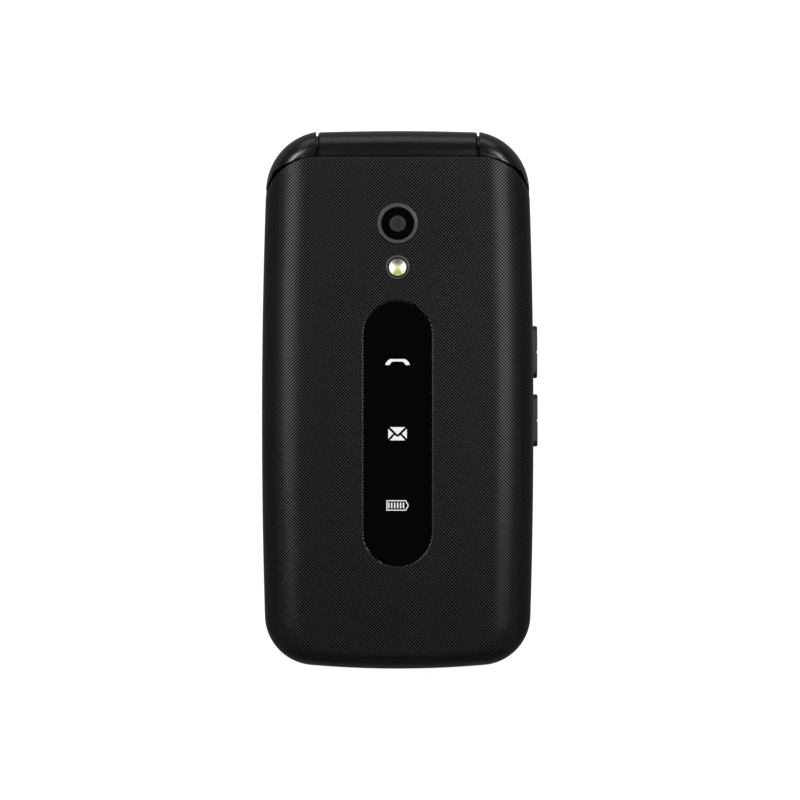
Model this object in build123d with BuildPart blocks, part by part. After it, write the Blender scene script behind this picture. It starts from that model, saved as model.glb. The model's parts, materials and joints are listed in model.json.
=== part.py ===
from build123d import *
import os
from math import cos, pi, radians, sin, sqrt

os.makedirs("parts", exist_ok=True)

# A clamshell phone, closed, lying on its back. X runs across it, +Y towards the hinge, +Z up.
# The origin is the middle of the flat back that it rests on. All sizes are in millimetres.

# ---- Overall form ------------------------------------------------------------------------
WIDTH = 54.0                # across the waist, where the bowed sides are widest
LENGTH = 106.9              # foot end to the outside of the hinge
BASE_HEIGHT = 10.6          # back to deck rim
LID_GAP = 0.4               # air between the deck rim and the closed lid
LID_HEIGHT = 7.6            # inner face to outer face of the lid
SIDE_BOW_R = 1286.0         # the long sides, seen from above
WAIST_SHIFT = 3.9           # from mid-length towards the foot to the waist
FOOT_BOW_R = 200.0          # the foot end, seen from above
FOOT_CORNER_R = 10.0
SHOULDER_CORNER_R = 12.0    # the base's corners beside the hinge
LID_CORNER_R = 10.0         # the lid's corners beside the hinge
CORNER_RUNOUT = 0.15        # those corners cross the bowed side at a slight angle
LID_SIDE_ROLL = 8.0         # width over which the lid's face rolls down to its sides
LID_FOOT_ROLL = 3.4         # the same at the foot end
LID_ROLL_DROP = 4.6         # height of that roll
BASE_ROLL = 4.0             # rolled lower edge of the base
ROLL_STEPS = 5              # sections that shape a rolled edge

# ---- Walls and clearances ----------------------------------------------------------------
WALL = 1.5                  # side walls of the base
LID_WALL = 1.2
SEAM = 0.05                 # between two shells that meet
FIT = 0.05                  # round a piece that sits in a pocket
RUN = 0.05                  # radial, round a turning pin
SWEEP = 0.3                 # between the base and what swings past it

# ---- Hinge -------------------------------------------------------------------------------
HINGE_R = 4.5               # barrel and shoulders
HINGE_LIFT = 2.7            # axis above the deck rim
BARREL_HALF = 15.8
BARREL_CROWN_R = 500.0      # the barrel is a little slimmer at its ends
BARREL_EDGE = 0.3           # broken edges of the barrel and shoulders where they face each other
SPIGOT_R = 3.5              # round spigot on each end of the barrel, in a seat in the shoulder
SPIGOT_REACH = 0.6          # into the shoulder
SPIGOT_CLEAR = 0.15
SHOULDER_GAP = 0.4          # barrel end to shoulder
LID_EDGE_BACK = 0.92        # the lid's edge stops this far before the axis
SHOULDER_FLARE = 2.4        # width of the shoulder's outer part, which widens
SHOULDER_FLARE_R = 8.6      # its radius at the outer end
CRADLE_WALL = 1.3
HEEL_ANGLE = 45.0           # slope of the base's end below the hinge
CARTRIDGE_R = 2.85
CARTRIDGE_WALL = 0.5
CARTRIDGE_LENGTH = 12.7
CARTRIDGE_CAP = 0.8
SHAFT_R = 1.2
SHAFT_HEAD_R = 2.2
SHAFT_HEAD_FLAT = 1.6       # axis to the flat of the D-shaped head
SHAFT_HEAD_LENGTH = 3.1
CAM_THICK = 1.8
CAM_LOBE = 0.3
FOLLOWER_THICK = 2.4
SPRING_WIRE_R = 0.25
SPRING_R = 1.75
SPRING_TURNS = 5
PIN_R = 2.0
PIN_BORE_R = 1.3
PIN_LENGTH = 11.0
FLEX_R = 1.0
FLEX_TAIL = 5.0             # width of the flex's flat tail
FLEX_THICK = 0.3

# ---- Keypad ------------------------------------------------------------------------------
DECK_DIP = 0.4              # keypad floor below the deck rim
DECK_THICK = 1.6
DIP_MARGIN = 2.4            # rim left round the dipped keypad floor
KEYPAD_SIDE_MARGIN = 3.1
KEYPAD_FOOT_MARGIN = 6.4
KEYPAD_HEAD_MARGIN = 11.0   # keypad to the cradle
NAV_BLOCK = 34.0            # length of the block of function keys
KEY_GAP = 1.6               # between two key caps
KEY_CORNER_R = 2.4
KEY_CROWN = 0.5             # key caps above the keypad floor
KEY_EDGE = 0.35             # rounding of a key cap
KEY_CLEAR = 0.15            # cap to its opening
KEY_FLANGE = 0.5            # flange beyond the cap
KEY_FLANGE_THICK = 0.6
OK_R = 4.5
NAV_R = 10.5
NAV_WEB = 1.4               # between the OK key and the arrow keys
NAV_SPLIT = 1.6             # between the two arrow keys
FUNCTION_GAP = 2.2          # arrow ring to the function keys beside it
FUNCTION_KEY_L = 13.2
FUNCTION_PITCH = 15.4

# ---- Side keys ---------------------------------------------------------------------------
SIDE_KEY_LENGTH = 10.45
SIDE_KEY_HEIGHT = 3.0
SIDE_KEY_END_R = 1.4
SIDE_KEY_PROUD = 0.95       # beyond the side wall
SIDE_KEY_GAP = 3.2          # between the two keys
SIDE_KEY_PAIR_Y = 2.7       # middle of the pair
SIDE_KEY_DROP = 4.05        # deck rim to the middle of a side key
SIDE_KEY_CLEAR = 0.12
SIDE_KEY_FLANGE = 0.35
SIDE_KEY_FLANGE_THICK = 0.5
SIDE_KEY_NICK = 0.3         # radius of the groove across the middle of each key
SIDE_SWITCH_W = 1.5
SIDE_SWITCH_L = 4.0
SIDE_SWITCH_H = 1.9

# ---- Inside the base ---------------------------------------------------------------------
HOUSING_SPLIT = 4.4         # parting height between front and rear housing
COVER_SPLIT = 2.4           # top edge of the battery cover
COVER_THICK = 1.0
COVER_RIM = 2.6             # width of the cover's rim, under the rolled edge
COVER_NOTCH_R = 3.0         # fingernail notch
BATTERY_W = 38.0
BATTERY_L = 52.0
BATTERY_H = 4.0
BATTERY_CLEAR = 0.2
BATTERY_EDGE = 1.0
BATTERY_CONTACTS = 3
BATTERY_CONTACT = 2.0       # side of each square contact, half as wide as their pitch
TRAY_WALL = 0.8
TRAY_ROOF = 0.6
BOARD_THICK = 0.8
BOARD_SIDE_MARGIN = 4.2     # board's edge, from the widest place
BOARD_FOOT_MARGIN = 9.75    # from the foot end
BOARD_HEAD_MARGIN = 9.7     # from the hinge cradle's wall
BOARD_TAB = (6.3, 12.8)     # across: tab that carries the microphone to the foot end
BOARD_TAB_MARGIN = 2.4
BOARD_LIFT = 0.2            # battery tray to board
MAT_THICK = 0.35
DOME_R = 2.0
DOME_H = 0.2
DOME_SLOPE = 13.0           # degrees
SPEAKER = (16.0, 7.4, 3.6)
SPEAKER_MARGIN = 1.4        # from the hinge cradle's wall
BAY_GAP = 0.8               # between neighbours in the base
SPEAKER_CORNER_R = 1.85
SPEAKER_HOLES = (5, 2)
SPEAKER_HOLE_R = 0.55
SPEAKER_HOLE_PITCH = 2.1
MOTOR_R = 3.5
MOTOR_H = 2.7
SIM = (13.0, 9.6, 1.1)
SHIELD_HALF = 13.0          # half width of the shielded radio block
USB = (8.94, 7.3, 3.16)     # socket shell: across, deep, high
USB_WALL = 0.3
USB_TONGUE = (6.7, 4.4, 0.7)
USB_LIFT = 0.9              # socket's underside below the parting height
JACK_BORE_R = 1.77
JACK_NOSE_R = 2.0
JACK_BODY = (11.6, 5.0, 4.0)
JACK_DEPTH = 11.0
JACK_MARGIN = 6.4           # its axis, from the hinge cradle's wall
MIC_HOLE_R = 0.5
MIC_X = 9.0
MIC_R = 1.1
SCREW_R = 0.75
SCREW_HEAD_R = 1.4
SCREW_HEAD_H = 0.8
SCREW_HEAD_EDGE = 0.2
SCREW_LENGTH = 4.8
SCREW_CLEAR = 0.05
BOSS_R = 1.8
BASE_SCREW_FOOT = (8.0, 4.4)     # from the widest place, and from the foot end
BASE_SCREW_HEAD = (6.6, 8.7)     # from the widest place, and from the hinge axis

# ---- Lid ---------------------------------------------------------------------------------
FRAME_THICK = 1.4           # inner bezel plate of the lid
FRAME_EDGE = 0.4
FRAME_RIM = 0.8             # rim that stands up inside the cover
FRAME_RIM_H = 1.2
CAMERA_DROP = 13.1          # lid's hinge edge to camera
CAMERA_RING_R = 4.03
CAMERA_RING_BORE_R = 3.3
CAMERA_RING_PROUD = 0.3
CAMERA_LEDGE_R = 2.3
COLLAR = 0.5                # width of the collar that holds a ring under the cover's roof
COLLAR_THICK = 0.35
CAMERA_WINDOW_THICK = 0.6
CAMERA_BODY = 8.0
CAMERA_BODY_H = 4.0
CAMERA_BODY_EDGE = 0.8
CAMERA_LENS_R = 1.62
FLASH_DROP = 8.67           # camera to flash
FLASH_RIM_R = 2.385
FLASH_RIM_BORE_R = 1.98
FLASH_LENS_R = 1.72
FLASH_LENS_SUNK = 0.15      # lens below the lid's face
FLASH_LED = 2.2
FLASH_LED_H = 0.8
WINDOW_DROP = 6.58          # flash to the near end of the status window
WINDOW_LENGTH = 52.65
WINDOW_W = 13.57
WINDOW_THICK = 0.8
WINDOW_PITCH = 14.2         # between the three symbols
WINDOW_EDGE = 0.15
LIGHT_SLOT = (6.0, 4.0)
GUIDE_THICK = 0.9
GLASS_SIDE_MARGIN = 4.0     # glass edge, from the widest place
GLASS_FOOT_MARGIN = 10.2    # lid's foot end to the display glass
GLASS_HEAD_MARGIN = 13.3    # glass to the lid's hinge edge
GLASS_THICK = 0.95
GLASS_CORNER_R = 2.0
DISPLAY_SIDE_MARGIN = 3.25
DISPLAY_FOOT_MARGIN = 18.2
DISPLAY_H = 2.0
VIEW_SIDE_BORDER = 2.15     # display module round the lit area
VIEW_END_BORDER = 4.2
LID_BOARD_SIDE_MARGIN = 6.0
LID_BOARD_FOOT_MARGIN = 9.9
LID_BOARD_THICK = 0.8
EARPIECE = (12.0, 5.0, 2.0)
EARPIECE_CORNER_R = 1.25
EARPIECE_FOOT = 5.6         # lid's foot end to the earpiece slot
EAR_SLOT = (12.0, 1.8)
EAR_HOLES = (11, 2)
EAR_HOLE_R = 0.2
EAR_HOLE_PITCH_X = 0.9
EAR_HOLE_PITCH_Y = 0.6
EAR_MESH_THICK = 0.5
PLUG_R = 1.9                # plugs over the lid screws
PLUG_THICK = 0.45
BUMPER = (6.0, 1.3)         # rubber pads on the inner face, near the foot
BUMPER_X = 12.0
BUMPER_FOOT = 1.3
BUMPER_PROUD = 0.3
BUMPER_SEAT = 0.5
LID_SCREW_FOOT = (8.5, 6.5)      # from the widest place, and from the foot end
LID_SCREW_HEAD = (8.0, 11.5)     # from the widest place, and from the hinge axis
LID_SCREW_LENGTH = 3.6

# ---- Places that follow from these -------------------------------------------------------
foot = -LENGTH / 2
hinge_y = LENGTH / 2 - HINGE_R
hinge_z = BASE_HEIGHT + HINGE_LIFT
lid_floor = BASE_HEIGHT + LID_GAP
lid_top = lid_floor + LID_HEIGHT
lid_head = hinge_y - LID_EDGE_BACK
lid_lip_r = sqrt(LID_EDGE_BACK ** 2 + (lid_top - hinge_z) ** 2)
cradle_r = lid_lip_r + SWEEP
swing_r = HINGE_R + SWEEP
shoulder_x = BARREL_HALF + SHOULDER_GAP
spigot_x = shoulder_x + SPIGOT_REACH
deck_floor = BASE_HEIGHT - DECK_DIP
deck_under = deck_floor - DECK_THICK
cavity_head = hinge_y - cradle_r - CRADLE_WALL
hinge_axis = Axis((0, hinge_y, hinge_z), (1, 0, 0))
axis_plane = Plane(origin=(0, hinge_y, hinge_z), x_dir=(0, 1, 0), z_dir=(1, 0, 0))
far = 2 * LENGTH            # longer than anything it cuts


def side_x(y, inset=0.0):
    """Half width of the bowed sides at y, moved inwards by the inset."""
    from_waist = y + WAIST_SHIFT
    return WIDTH / 2 - inset - SIDE_BOW_R + sqrt(SIDE_BOW_R ** 2 - from_waist ** 2)


def foot_y(x, inset=0.0):
    """The bowed foot end at x, moved inwards by the inset."""
    return foot + inset + FOOT_BOW_R - sqrt(FOOT_BOW_R ** 2 - x ** 2)


def outline(z, head_y, side_inset=0.0, foot_inset=0.0, head_corner=0.0):
    """The phone's plan at height z: bowed sides and foot, a straight head, rounded corners."""
    corner_y = foot + foot_inset
    for _ in range(3):
        corner_x = side_x(corner_y, side_inset)
        corner_y = foot_y(corner_x, foot_inset)
    head_x = side_x(head_y, side_inset)
    mid_y = (head_y + corner_y) / 2
    mid_x = side_x(mid_y, side_inset)
    with BuildSketch(Plane.XY.offset(z)) as plan:
        with BuildLine():
            Line((-head_x, head_y), (head_x, head_y))
            ThreePointArc((head_x, head_y), (mid_x, mid_y), (corner_x, corner_y))
            ThreePointArc((corner_x, corner_y), (0, foot_y(0, foot_inset)), (-corner_x, corner_y))
            ThreePointArc((-corner_x, corner_y), (-mid_x, mid_y), (-head_x, head_y))
        make_face()
        foot_corners = plan.vertices().group_by(Axis.Y)[0]
        fillet(foot_corners, FOOT_CORNER_R - (side_inset + foot_inset) / 2)
        if head_corner > 0:
            fillet(plan.vertices().group_by(Axis.Y)[-1], head_corner)
    return plan.sketch


def rolled_body(z_start, z_turn, z_end, head_y, side_roll, foot_roll, inset=0.0,
                head_roll=0.0, head_corner=0.0):
    """Upright walls from z_start to z_turn, then an edge that rolls in along a quarter ellipse to z_end."""
    with BuildPart() as body:
        add(outline(z_start, head_y, inset, inset, head_corner))
        extrude(amount=z_turn - z_start)
        for step in range(ROLL_STEPS + 1):
            turn = pi / 2 * step / ROLL_STEPS
            rolled = 1 - cos(turn)
            add(outline(z_turn + (z_end - z_turn) * sin(turn), head_y - head_roll * rolled,
                        inset + side_roll * rolled, inset + foot_roll * rolled,
                        head_corner - head_roll * rolled if head_corner else 0.0))
        loft()
    return body.part


def rod(radius, x_from, x_to, plane=None):
    """A round bar along the hinge axis, between two places across the phone."""
    across = plane or axis_plane
    with BuildPart() as bar:
        with BuildSketch(across.offset(x_from)):
            Circle(radius)
        extrude(amount=x_to - x_from)
    return bar.part


def block(x_range, y_range, z_range):
    """A plain box between two places on each axis."""
    with BuildPart() as box:
        with BuildSketch(Plane.XY.offset(z_range[0])):
            with Locations(((x_range[0] + x_range[1]) / 2, (y_range[0] + y_range[1]) / 2)):
                Rectangle(x_range[1] - x_range[0], y_range[1] - y_range[0])
        extrude(amount=z_range[1] - z_range[0])
    return box.part


def post(x, y, z_from, z_to, radius):
    """An upright round post."""
    with BuildPart() as pole:
        with BuildSketch(Plane.XY.offset(z_from)):
            with Locations((x, y)):
                Circle(radius)
        extrude(amount=z_to - z_from)
    return pole.part


def head_cutter(inset):
    """Everything beyond the lid's rounded hinge end, which moves in by the inset."""
    edge_y = lid_head - inset
    corner_r = LID_CORNER_R - inset
    half = side_x(edge_y - corner_r, inset) + CORNER_RUNOUT
    with BuildPart() as cutter:
        with BuildSketch(Plane.XY):
            with Locations((0, edge_y - corner_r + LENGTH)):
                Rectangle(2 * LENGTH, 2 * LENGTH)
            with Locations((0, edge_y - 2 * corner_r)):
                RectangleRounded(2 * half, 4 * corner_r, corner_r, mode=Mode.SUBTRACT)
        extrude(amount=far)
    return cutter.part


def both_sides(x, y):
    """A place and its mirror image across the phone."""
    return [(-x, y), (x, y)]


# ---- Base: outer form --------------------------------------------------------------------
heel_dir = (cos(radians(HEEL_ANGLE)), -sin(radians(HEEL_ANGLE)))
heel_y = hinge_y + HINGE_R * heel_dir[0]
heel_z = hinge_z + HINGE_R * heel_dir[1]

with BuildPart() as slab:
    add(rolled_body(BASE_HEIGHT, BASE_ROLL, 0, LENGTH / 2, BASE_ROLL, BASE_ROLL,
                    head_corner=SHOULDER_CORNER_R))
    with BuildSketch(Plane.YZ):
        with BuildLine():
            Polyline((heel_y - LENGTH * heel_dir[0], heel_z + LENGTH * heel_dir[1]), (heel_y, heel_z),
                     (heel_y, BASE_HEIGHT + LID_GAP), (far, BASE_HEIGHT + LID_GAP),
                     (far, heel_z + LENGTH * heel_dir[1]), close=True)
        make_face()
    extrude(amount=WIDTH, both=True, mode=Mode.SUBTRACT)

with BuildPart() as knuckles:
    add(rolled_body(deck_under, hinge_z, hinge_z + HINGE_R, LENGTH / 2, HINGE_R, HINGE_R,
                    head_roll=HINGE_R, head_corner=SHOULDER_CORNER_R))
    with BuildSketch(Plane.XY.offset(hinge_z)):
        with BuildLine():
            Polyline((shoulder_x, hinge_y), (shoulder_x, hinge_y + HINGE_R - BARREL_EDGE),
                     (shoulder_x + BARREL_EDGE, hinge_y + HINGE_R),
                     (WIDTH / 2 - SHOULDER_FLARE, hinge_y + HINGE_R),
                     (WIDTH / 2, hinge_y + SHOULDER_FLARE_R),
                     (WIDTH / 2, hinge_y), close=True)
        make_face()
        mirror(about=Plane.YZ)
    revolve(axis=hinge_axis, mode=Mode.INTERSECT)

with BuildPart() as base_blank:
    add(slab.part)
    add(rod(cradle_r, -shoulder_x, shoulder_x), mode=Mode.SUBTRACT)
    add(knuckles.part)

# ---- Keypad layout -----------------------------------------------------------------------
keypad_half = WIDTH / 2 - KEYPAD_SIDE_MARGIN
keypad_foot = foot + KEYPAD_FOOT_MARGIN
nav_head = cavity_head - KEYPAD_HEAD_MARGIN + CRADLE_WALL
nav_y = nav_head - NAV_BLOCK / 2
pitch_x = 2 * keypad_half / 3
pitch_y = (nav_head - NAV_BLOCK - keypad_foot) / 4
digit_w = pitch_x - KEY_GAP
digit_l = pitch_y - KEY_GAP
nav_inner_r = OK_R + NAV_WEB
nav_middle_r = (NAV_R + nav_inner_r) / 2
function_key_w = keypad_half - NAV_R - FUNCTION_GAP
function_x = keypad_half - function_key_w / 2
key_top = deck_floor + KEY_CROWN


def box_key(width, length):
    """Makes the plan of a rectangular key, drawn larger all round by its argument."""
    def plan(grow):
        RectangleRounded(width + 2 * grow, length + 2 * grow, KEY_CORNER_R + grow)
    return plan


def round_key(grow):
    """Plan of the OK key."""
    Circle(OK_R + grow)


def arrow_key(side):
    """Makes the plan of the half ring above (+1) or below (-1) the OK key."""
    def plan(grow):
        Circle(NAV_R + grow)
        Circle(nav_inner_r - grow, mode=Mode.SUBTRACT)
        half = 2 * NAV_R
        with Locations((0, side * (NAV_SPLIT / 2 - grow - half))):
            Rectangle(2 * half, 2 * half, mode=Mode.SUBTRACT)
    return plan


keys = {}
digit_names = ("key_1", "key_2", "key_3", "key_4", "key_5", "key_6",
               "key_7", "key_8", "key_9", "key_star", "key_0", "key_hash")
for index, name in enumerate(digit_names):
    column = index % 3 - 1
    row = 3 - index // 3
    keys[name] = (column * pitch_x, keypad_foot + (row + 0.5) * pitch_y, box_key(digit_w, digit_l))
keys["nav_up"] = (0, nav_y, arrow_key(1))
keys["nav_down"] = (0, nav_y, arrow_key(-1))
keys["key_ok"] = (0, nav_y, round_key)
function_key = box_key(function_key_w, FUNCTION_KEY_L)
keys["soft_left"] = (-function_x, nav_y + FUNCTION_PITCH / 2, function_key)
keys["soft_right"] = (function_x, nav_y + FUNCTION_PITCH / 2, function_key)
keys["call_key"] = (-function_x, nav_y - FUNCTION_PITCH / 2, function_key)
keys["end_key"] = (function_x, nav_y - FUNCTION_PITCH / 2, function_key)


def key_prism(place, grow, z_from, z_to):
    """A key's plan, grown all round, as an upright prism."""
    x, y, plan = place
    with BuildPart() as prism:
        with BuildSketch(Plane.XY.offset(z_from)):
            with Locations((x, y)):
                plan(grow)
        extrude(amount=z_to - z_from)
    return prism.part


# ---- Side key places ---------------------------------------------------------------------
side_key_z = BASE_HEIGHT - SIDE_KEY_DROP
side_pitch = SIDE_KEY_LENGTH + SIDE_KEY_GAP
side_keys = {"side_key_upper": SIDE_KEY_PAIR_Y + side_pitch / 2,
             "side_key_lower": SIDE_KEY_PAIR_Y - side_pitch / 2}


def side_prism(y, grow, x_from, x_to):
    """A side key's rounded outline, grown all round, as a bar across the phone."""
    with BuildPart() as prism:
        with BuildSketch(Plane(origin=(x_from, y, side_key_z), x_dir=(0, 1, 0), z_dir=(1, 0, 0))):
            RectangleRounded(SIDE_KEY_LENGTH + 2 * grow, SIDE_KEY_HEIGHT + 2 * grow,
                             SIDE_KEY_END_R + grow)
        extrude(amount=x_to - x_from)
    return prism.part


# ---- Screw, socket and tray places -------------------------------------------------------
base_screws_at = [(x, y, COVER_SPLIT + SEAM + FIT) for x, y in
                  both_sides(WIDTH / 2 - BASE_SCREW_FOOT[0], foot + BASE_SCREW_FOOT[1])]
base_screws_at += [(x, y, COVER_SPLIT - SCREW_HEAD_H) for x, y in
                   both_sides(WIDTH / 2 - BASE_SCREW_HEAD[0], hinge_y - BASE_SCREW_HEAD[1])]
speaker_y = cavity_head - SPEAKER_MARGIN - SPEAKER[1] / 2
cover_head = speaker_y - SPEAKER[1] / 2 - BAY_GAP
sim_y = cover_head - COVER_THICK - SWEEP - SIM[1] / 2
battery_z = COVER_THICK + BATTERY_CLEAR
battery_head = sim_y - SIM[1] / 2 - BAY_GAP - TRAY_WALL - BATTERY_CLEAR
battery_foot = battery_head - BATTERY_L
tray_half = BATTERY_W / 2 + BATTERY_CLEAR
tray_roof_z = battery_z + BATTERY_H + BATTERY_CLEAR / 2
board_z = tray_roof_z + TRAY_ROOF + BOARD_LIFT
usb_z = HOUSING_SPLIT - USB_LIFT
usb_mouth_y = foot + SEAM
jack_z = HOUSING_SPLIT + JACK_BODY[2] / 2 + FIT
jack_y = cavity_head - JACK_MARGIN
jack_mouth_x = -side_x(jack_y)
jack_shoulder_x = -side_x(jack_y + JACK_BODY[1] / 2, WALL + FIT)
motor_x = SPEAKER[0] / 2 + BAY_GAP + MOTOR_R
motor_y = speaker_y + FIT
board_half = WIDTH / 2 - BOARD_SIDE_MARGIN
board_foot = foot + BOARD_FOOT_MARGIN
board_head = cavity_head - BOARD_HEAD_MARGIN
tab_foot = foot + BOARD_TAB_MARGIN
pin_end_x = shoulder_x + SHAFT_HEAD_LENGTH
speaker_z = COVER_THICK + FIT

with BuildPart() as usb_hole:
    with BuildSketch(Plane(origin=(0, foot - WALL, usb_z + USB[2] / 2), x_dir=(-1, 0, 0), z_dir=(0, 1, 0))):
        RectangleRounded(USB[0] + 2 * FIT, USB[2] + 2 * FIT, USB[2] / 2)
    extrude(amount=WALL + SEAM + USB[1] + FIT)

# ---- Base: front housing -----------------------------------------------------------------
with BuildPart() as front_housing:
    add(base_blank.part)
    split(bisect_by=Plane.XY.offset(HOUSING_SPLIT + SEAM / 2), keep=Keep.TOP)
    # hollow below the deck
    add(outline(HOUSING_SPLIT, cavity_head, WALL, WALL))
    extrude(amount=deck_under - HOUSING_SPLIT, mode=Mode.SUBTRACT)
    # dipped keypad floor
    add(outline(deck_floor, nav_head + DIP_MARGIN, DIP_MARGIN, DIP_MARGIN))
    extrude(amount=BASE_HEIGHT - deck_floor + SEAM, mode=Mode.SUBTRACT)
    for place in keys.values():
        add(key_prism(place, KEY_CLEAR, deck_under - SEAM, BASE_HEIGHT), mode=Mode.SUBTRACT)
    for y in side_keys.values():
        add(side_prism(y, SIDE_KEY_CLEAR, WIDTH / 2 - 2 * WALL, WIDTH), mode=Mode.SUBTRACT)
    for x, y, z in base_screws_at:
        add(post(x, y, HOUSING_SPLIT + SEAM / 2, deck_under, BOSS_R))
    for x, y, z in base_screws_at:
        screw_end = z + SCREW_HEAD_H + SCREW_LENGTH + SCREW_CLEAR
        add(post(x, y, 0, screw_end, SCREW_R + SCREW_CLEAR), mode=Mode.SUBTRACT)
    # charging socket, headset socket and microphone
    add(usb_hole.part, mode=Mode.SUBTRACT)
    with BuildSketch(Plane(origin=(-WIDTH, jack_y, jack_z), x_dir=(0, 1, 0), z_dir=(1, 0, 0))):
        Circle(JACK_NOSE_R + FIT)
    extrude(amount=WIDTH / 2 + 2 * WALL, mode=Mode.SUBTRACT)
    with BuildSketch(Plane(origin=(MIC_X, foot - WALL, board_z), x_dir=(1, 0, 0), z_dir=(0, 1, 0))):
        Circle(MIC_HOLE_R)
    extrude(amount=3 * WALL, mode=Mode.SUBTRACT)
    # hinge seats: round ones for the spigots, then a D-shaped pocket on the right, a bore on the left
    for x_from, x_to in ((shoulder_x - SEAM, spigot_x + SWEEP), (-spigot_x - SWEEP, SEAM - shoulder_x)):
        add(rod(SPIGOT_R + SPIGOT_CLEAR, x_from, x_to), mode=Mode.SUBTRACT)
    with BuildSketch(axis_plane.offset(shoulder_x - SEAM)):
        Circle(SHAFT_HEAD_R + FIT)
        with Locations((0, -SHAFT_HEAD_FLAT - FIT - SHAFT_HEAD_R)):
            Rectangle(4 * SHAFT_HEAD_R, 2 * SHAFT_HEAD_R, mode=Mode.SUBTRACT)
    extrude(amount=SHAFT_HEAD_LENGTH + 2 * FIT + SEAM, mode=Mode.SUBTRACT)
    add(rod(PIN_R + FIT / 2, -pin_end_x - FIT, -shoulder_x + SEAM), mode=Mode.SUBTRACT)
front_housing.part.label = "front_housing"
export_step(front_housing.part, "parts/front_housing.step")

# ---- Base: battery cover and rear housing ------------------------------------------------
with BuildPart() as battery_cover:
    add(base_blank.part)
    split(bisect_by=Plane.XY.offset(COVER_SPLIT), keep=Keep.BOTTOM)
    split(bisect_by=Plane.XZ.offset(-cover_head), keep=Keep.TOP)
    add(outline(COVER_THICK, cover_head - COVER_THICK, COVER_RIM, COVER_RIM))
    extrude(amount=COVER_SPLIT, mode=Mode.SUBTRACT)
    add(post(0, cover_head, -COVER_THICK, COVER_THICK / 2, COVER_NOTCH_R), mode=Mode.SUBTRACT)
battery_cover.part.label = "battery_cover"
export_step(battery_cover.part, "parts/battery_cover.step")

with BuildPart() as rear_housing:
    add(base_blank.part)
    split(bisect_by=Plane.XY.offset(HOUSING_SPLIT - SEAM / 2), keep=Keep.BOTTOM)
    add(block((-WIDTH, WIDTH), (-LENGTH, cover_head + SEAM), (-SEAM, COVER_SPLIT + SEAM)),
        mode=Mode.SUBTRACT)
    # battery tray, open downwards
    add(block((-tray_half - TRAY_WALL, tray_half + TRAY_WALL),
              (battery_foot - BATTERY_CLEAR - TRAY_WALL, battery_head + BATTERY_CLEAR + TRAY_WALL),
              (COVER_SPLIT + SEAM, tray_roof_z + TRAY_ROOF)))
    add(block((-tray_half, tray_half), (battery_foot - BATTERY_CLEAR, battery_head + BATTERY_CLEAR),
              (0, tray_roof_z)), mode=Mode.SUBTRACT)
    # pockets for the card holder, loudspeaker, motor and charging socket
    add(block((-SIM[0] / 2 - FIT, SIM[0] / 2 + FIT), (sim_y - SIM[1] / 2 - FIT, sim_y + SIM[1] / 2 + FIT),
              (COVER_SPLIT, COVER_SPLIT + SEAM + SIM[2] + FIT)), mode=Mode.SUBTRACT)
    add(block((-SPEAKER[0] / 2 - FIT, SPEAKER[0] / 2 + FIT),
              (speaker_y - SPEAKER[1] / 2 - FIT, speaker_y + SPEAKER[1] / 2 + FIT),
              (speaker_z - FIT, HOUSING_SPLIT)), mode=Mode.SUBTRACT)
    with Locations((0, speaker_y, 0)):
        with GridLocations(SPEAKER_HOLE_PITCH, SPEAKER_HOLE_PITCH, *SPEAKER_HOLES):
            Hole(SPEAKER_HOLE_R)
    add(post(motor_x, motor_y, HOUSING_SPLIT - COVER_THICK, HOUSING_SPLIT, MOTOR_R + FIT),
        mode=Mode.SUBTRACT)
    add(usb_hole.part, mode=Mode.SUBTRACT)
    for x, y, z in base_screws_at:
        add(post(x, y, 0, HOUSING_SPLIT, SCREW_R + SCREW_CLEAR), mode=Mode.SUBTRACT)
        add(post(x, y, -SEAM, z + SCREW_HEAD_H, SCREW_HEAD_R + SCREW_CLEAR), mode=Mode.SUBTRACT)
rear_housing.part.label = "rear_housing"
export_step(rear_housing.part, "parts/rear_housing.step")

# ---- Keys --------------------------------------------------------------------------------
flange_top = deck_under - SEAM
for name, place in keys.items():
    with BuildPart() as key:
        add(key_prism(place, 0, flange_top, key_top))
        fillet(key.faces().sort_by(Axis.Z)[-1].outer_wire().edges(), KEY_EDGE)
        add(key_prism(place, KEY_FLANGE, flange_top - KEY_FLANGE_THICK, flange_top))
    key.part.label = name
    export_step(key.part, f"parts/{name}.step")

for name, y in side_keys.items():
    proud_x = side_x(y) + SIDE_KEY_PROUD
    key_end = y + SIDE_KEY_LENGTH / 2 + SIDE_KEY_FLANGE
    side_key_base = min(side_x(key_end), side_x(y)) - WALL - SEAM
    with BuildPart() as side_key:
        add(side_prism(y, 0, side_key_base, proud_x))
        fillet(side_key.faces().sort_by(Axis.X)[-1].outer_wire().edges(), KEY_EDGE)
        add(post(proud_x + SIDE_KEY_NICK / 2, y, side_key_z - SIDE_KEY_HEIGHT,
                 side_key_z + SIDE_KEY_HEIGHT, SIDE_KEY_NICK), mode=Mode.SUBTRACT)
        add(side_prism(y, SIDE_KEY_FLANGE, side_key_base - SIDE_KEY_FLANGE_THICK, side_key_base))
    side_key.part.label = name
    export_step(side_key.part, f"parts/{name}.step")

# ---- Inside the base ---------------------------------------------------------------------
with BuildPart() as battery:
    add(block((-BATTERY_W / 2, BATTERY_W / 2), (battery_foot, battery_head),
              (battery_z, battery_z + BATTERY_H)))
    fillet(battery.edges().filter_by(Axis.Y), BATTERY_EDGE)
    with BuildSketch(Plane.XZ.offset(-battery_head)):
        with Locations((0, battery_z + BATTERY_H / 2)):
            with GridLocations(2 * BATTERY_CONTACT, 1, BATTERY_CONTACTS, 1):
                Rectangle(BATTERY_CONTACT, BATTERY_CONTACT)
    extrude(amount=BATTERY_CLEAR / 2, mode=Mode.SUBTRACT)
battery.part.label = "battery"
export_step(battery.part, "parts/battery.step")

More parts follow.
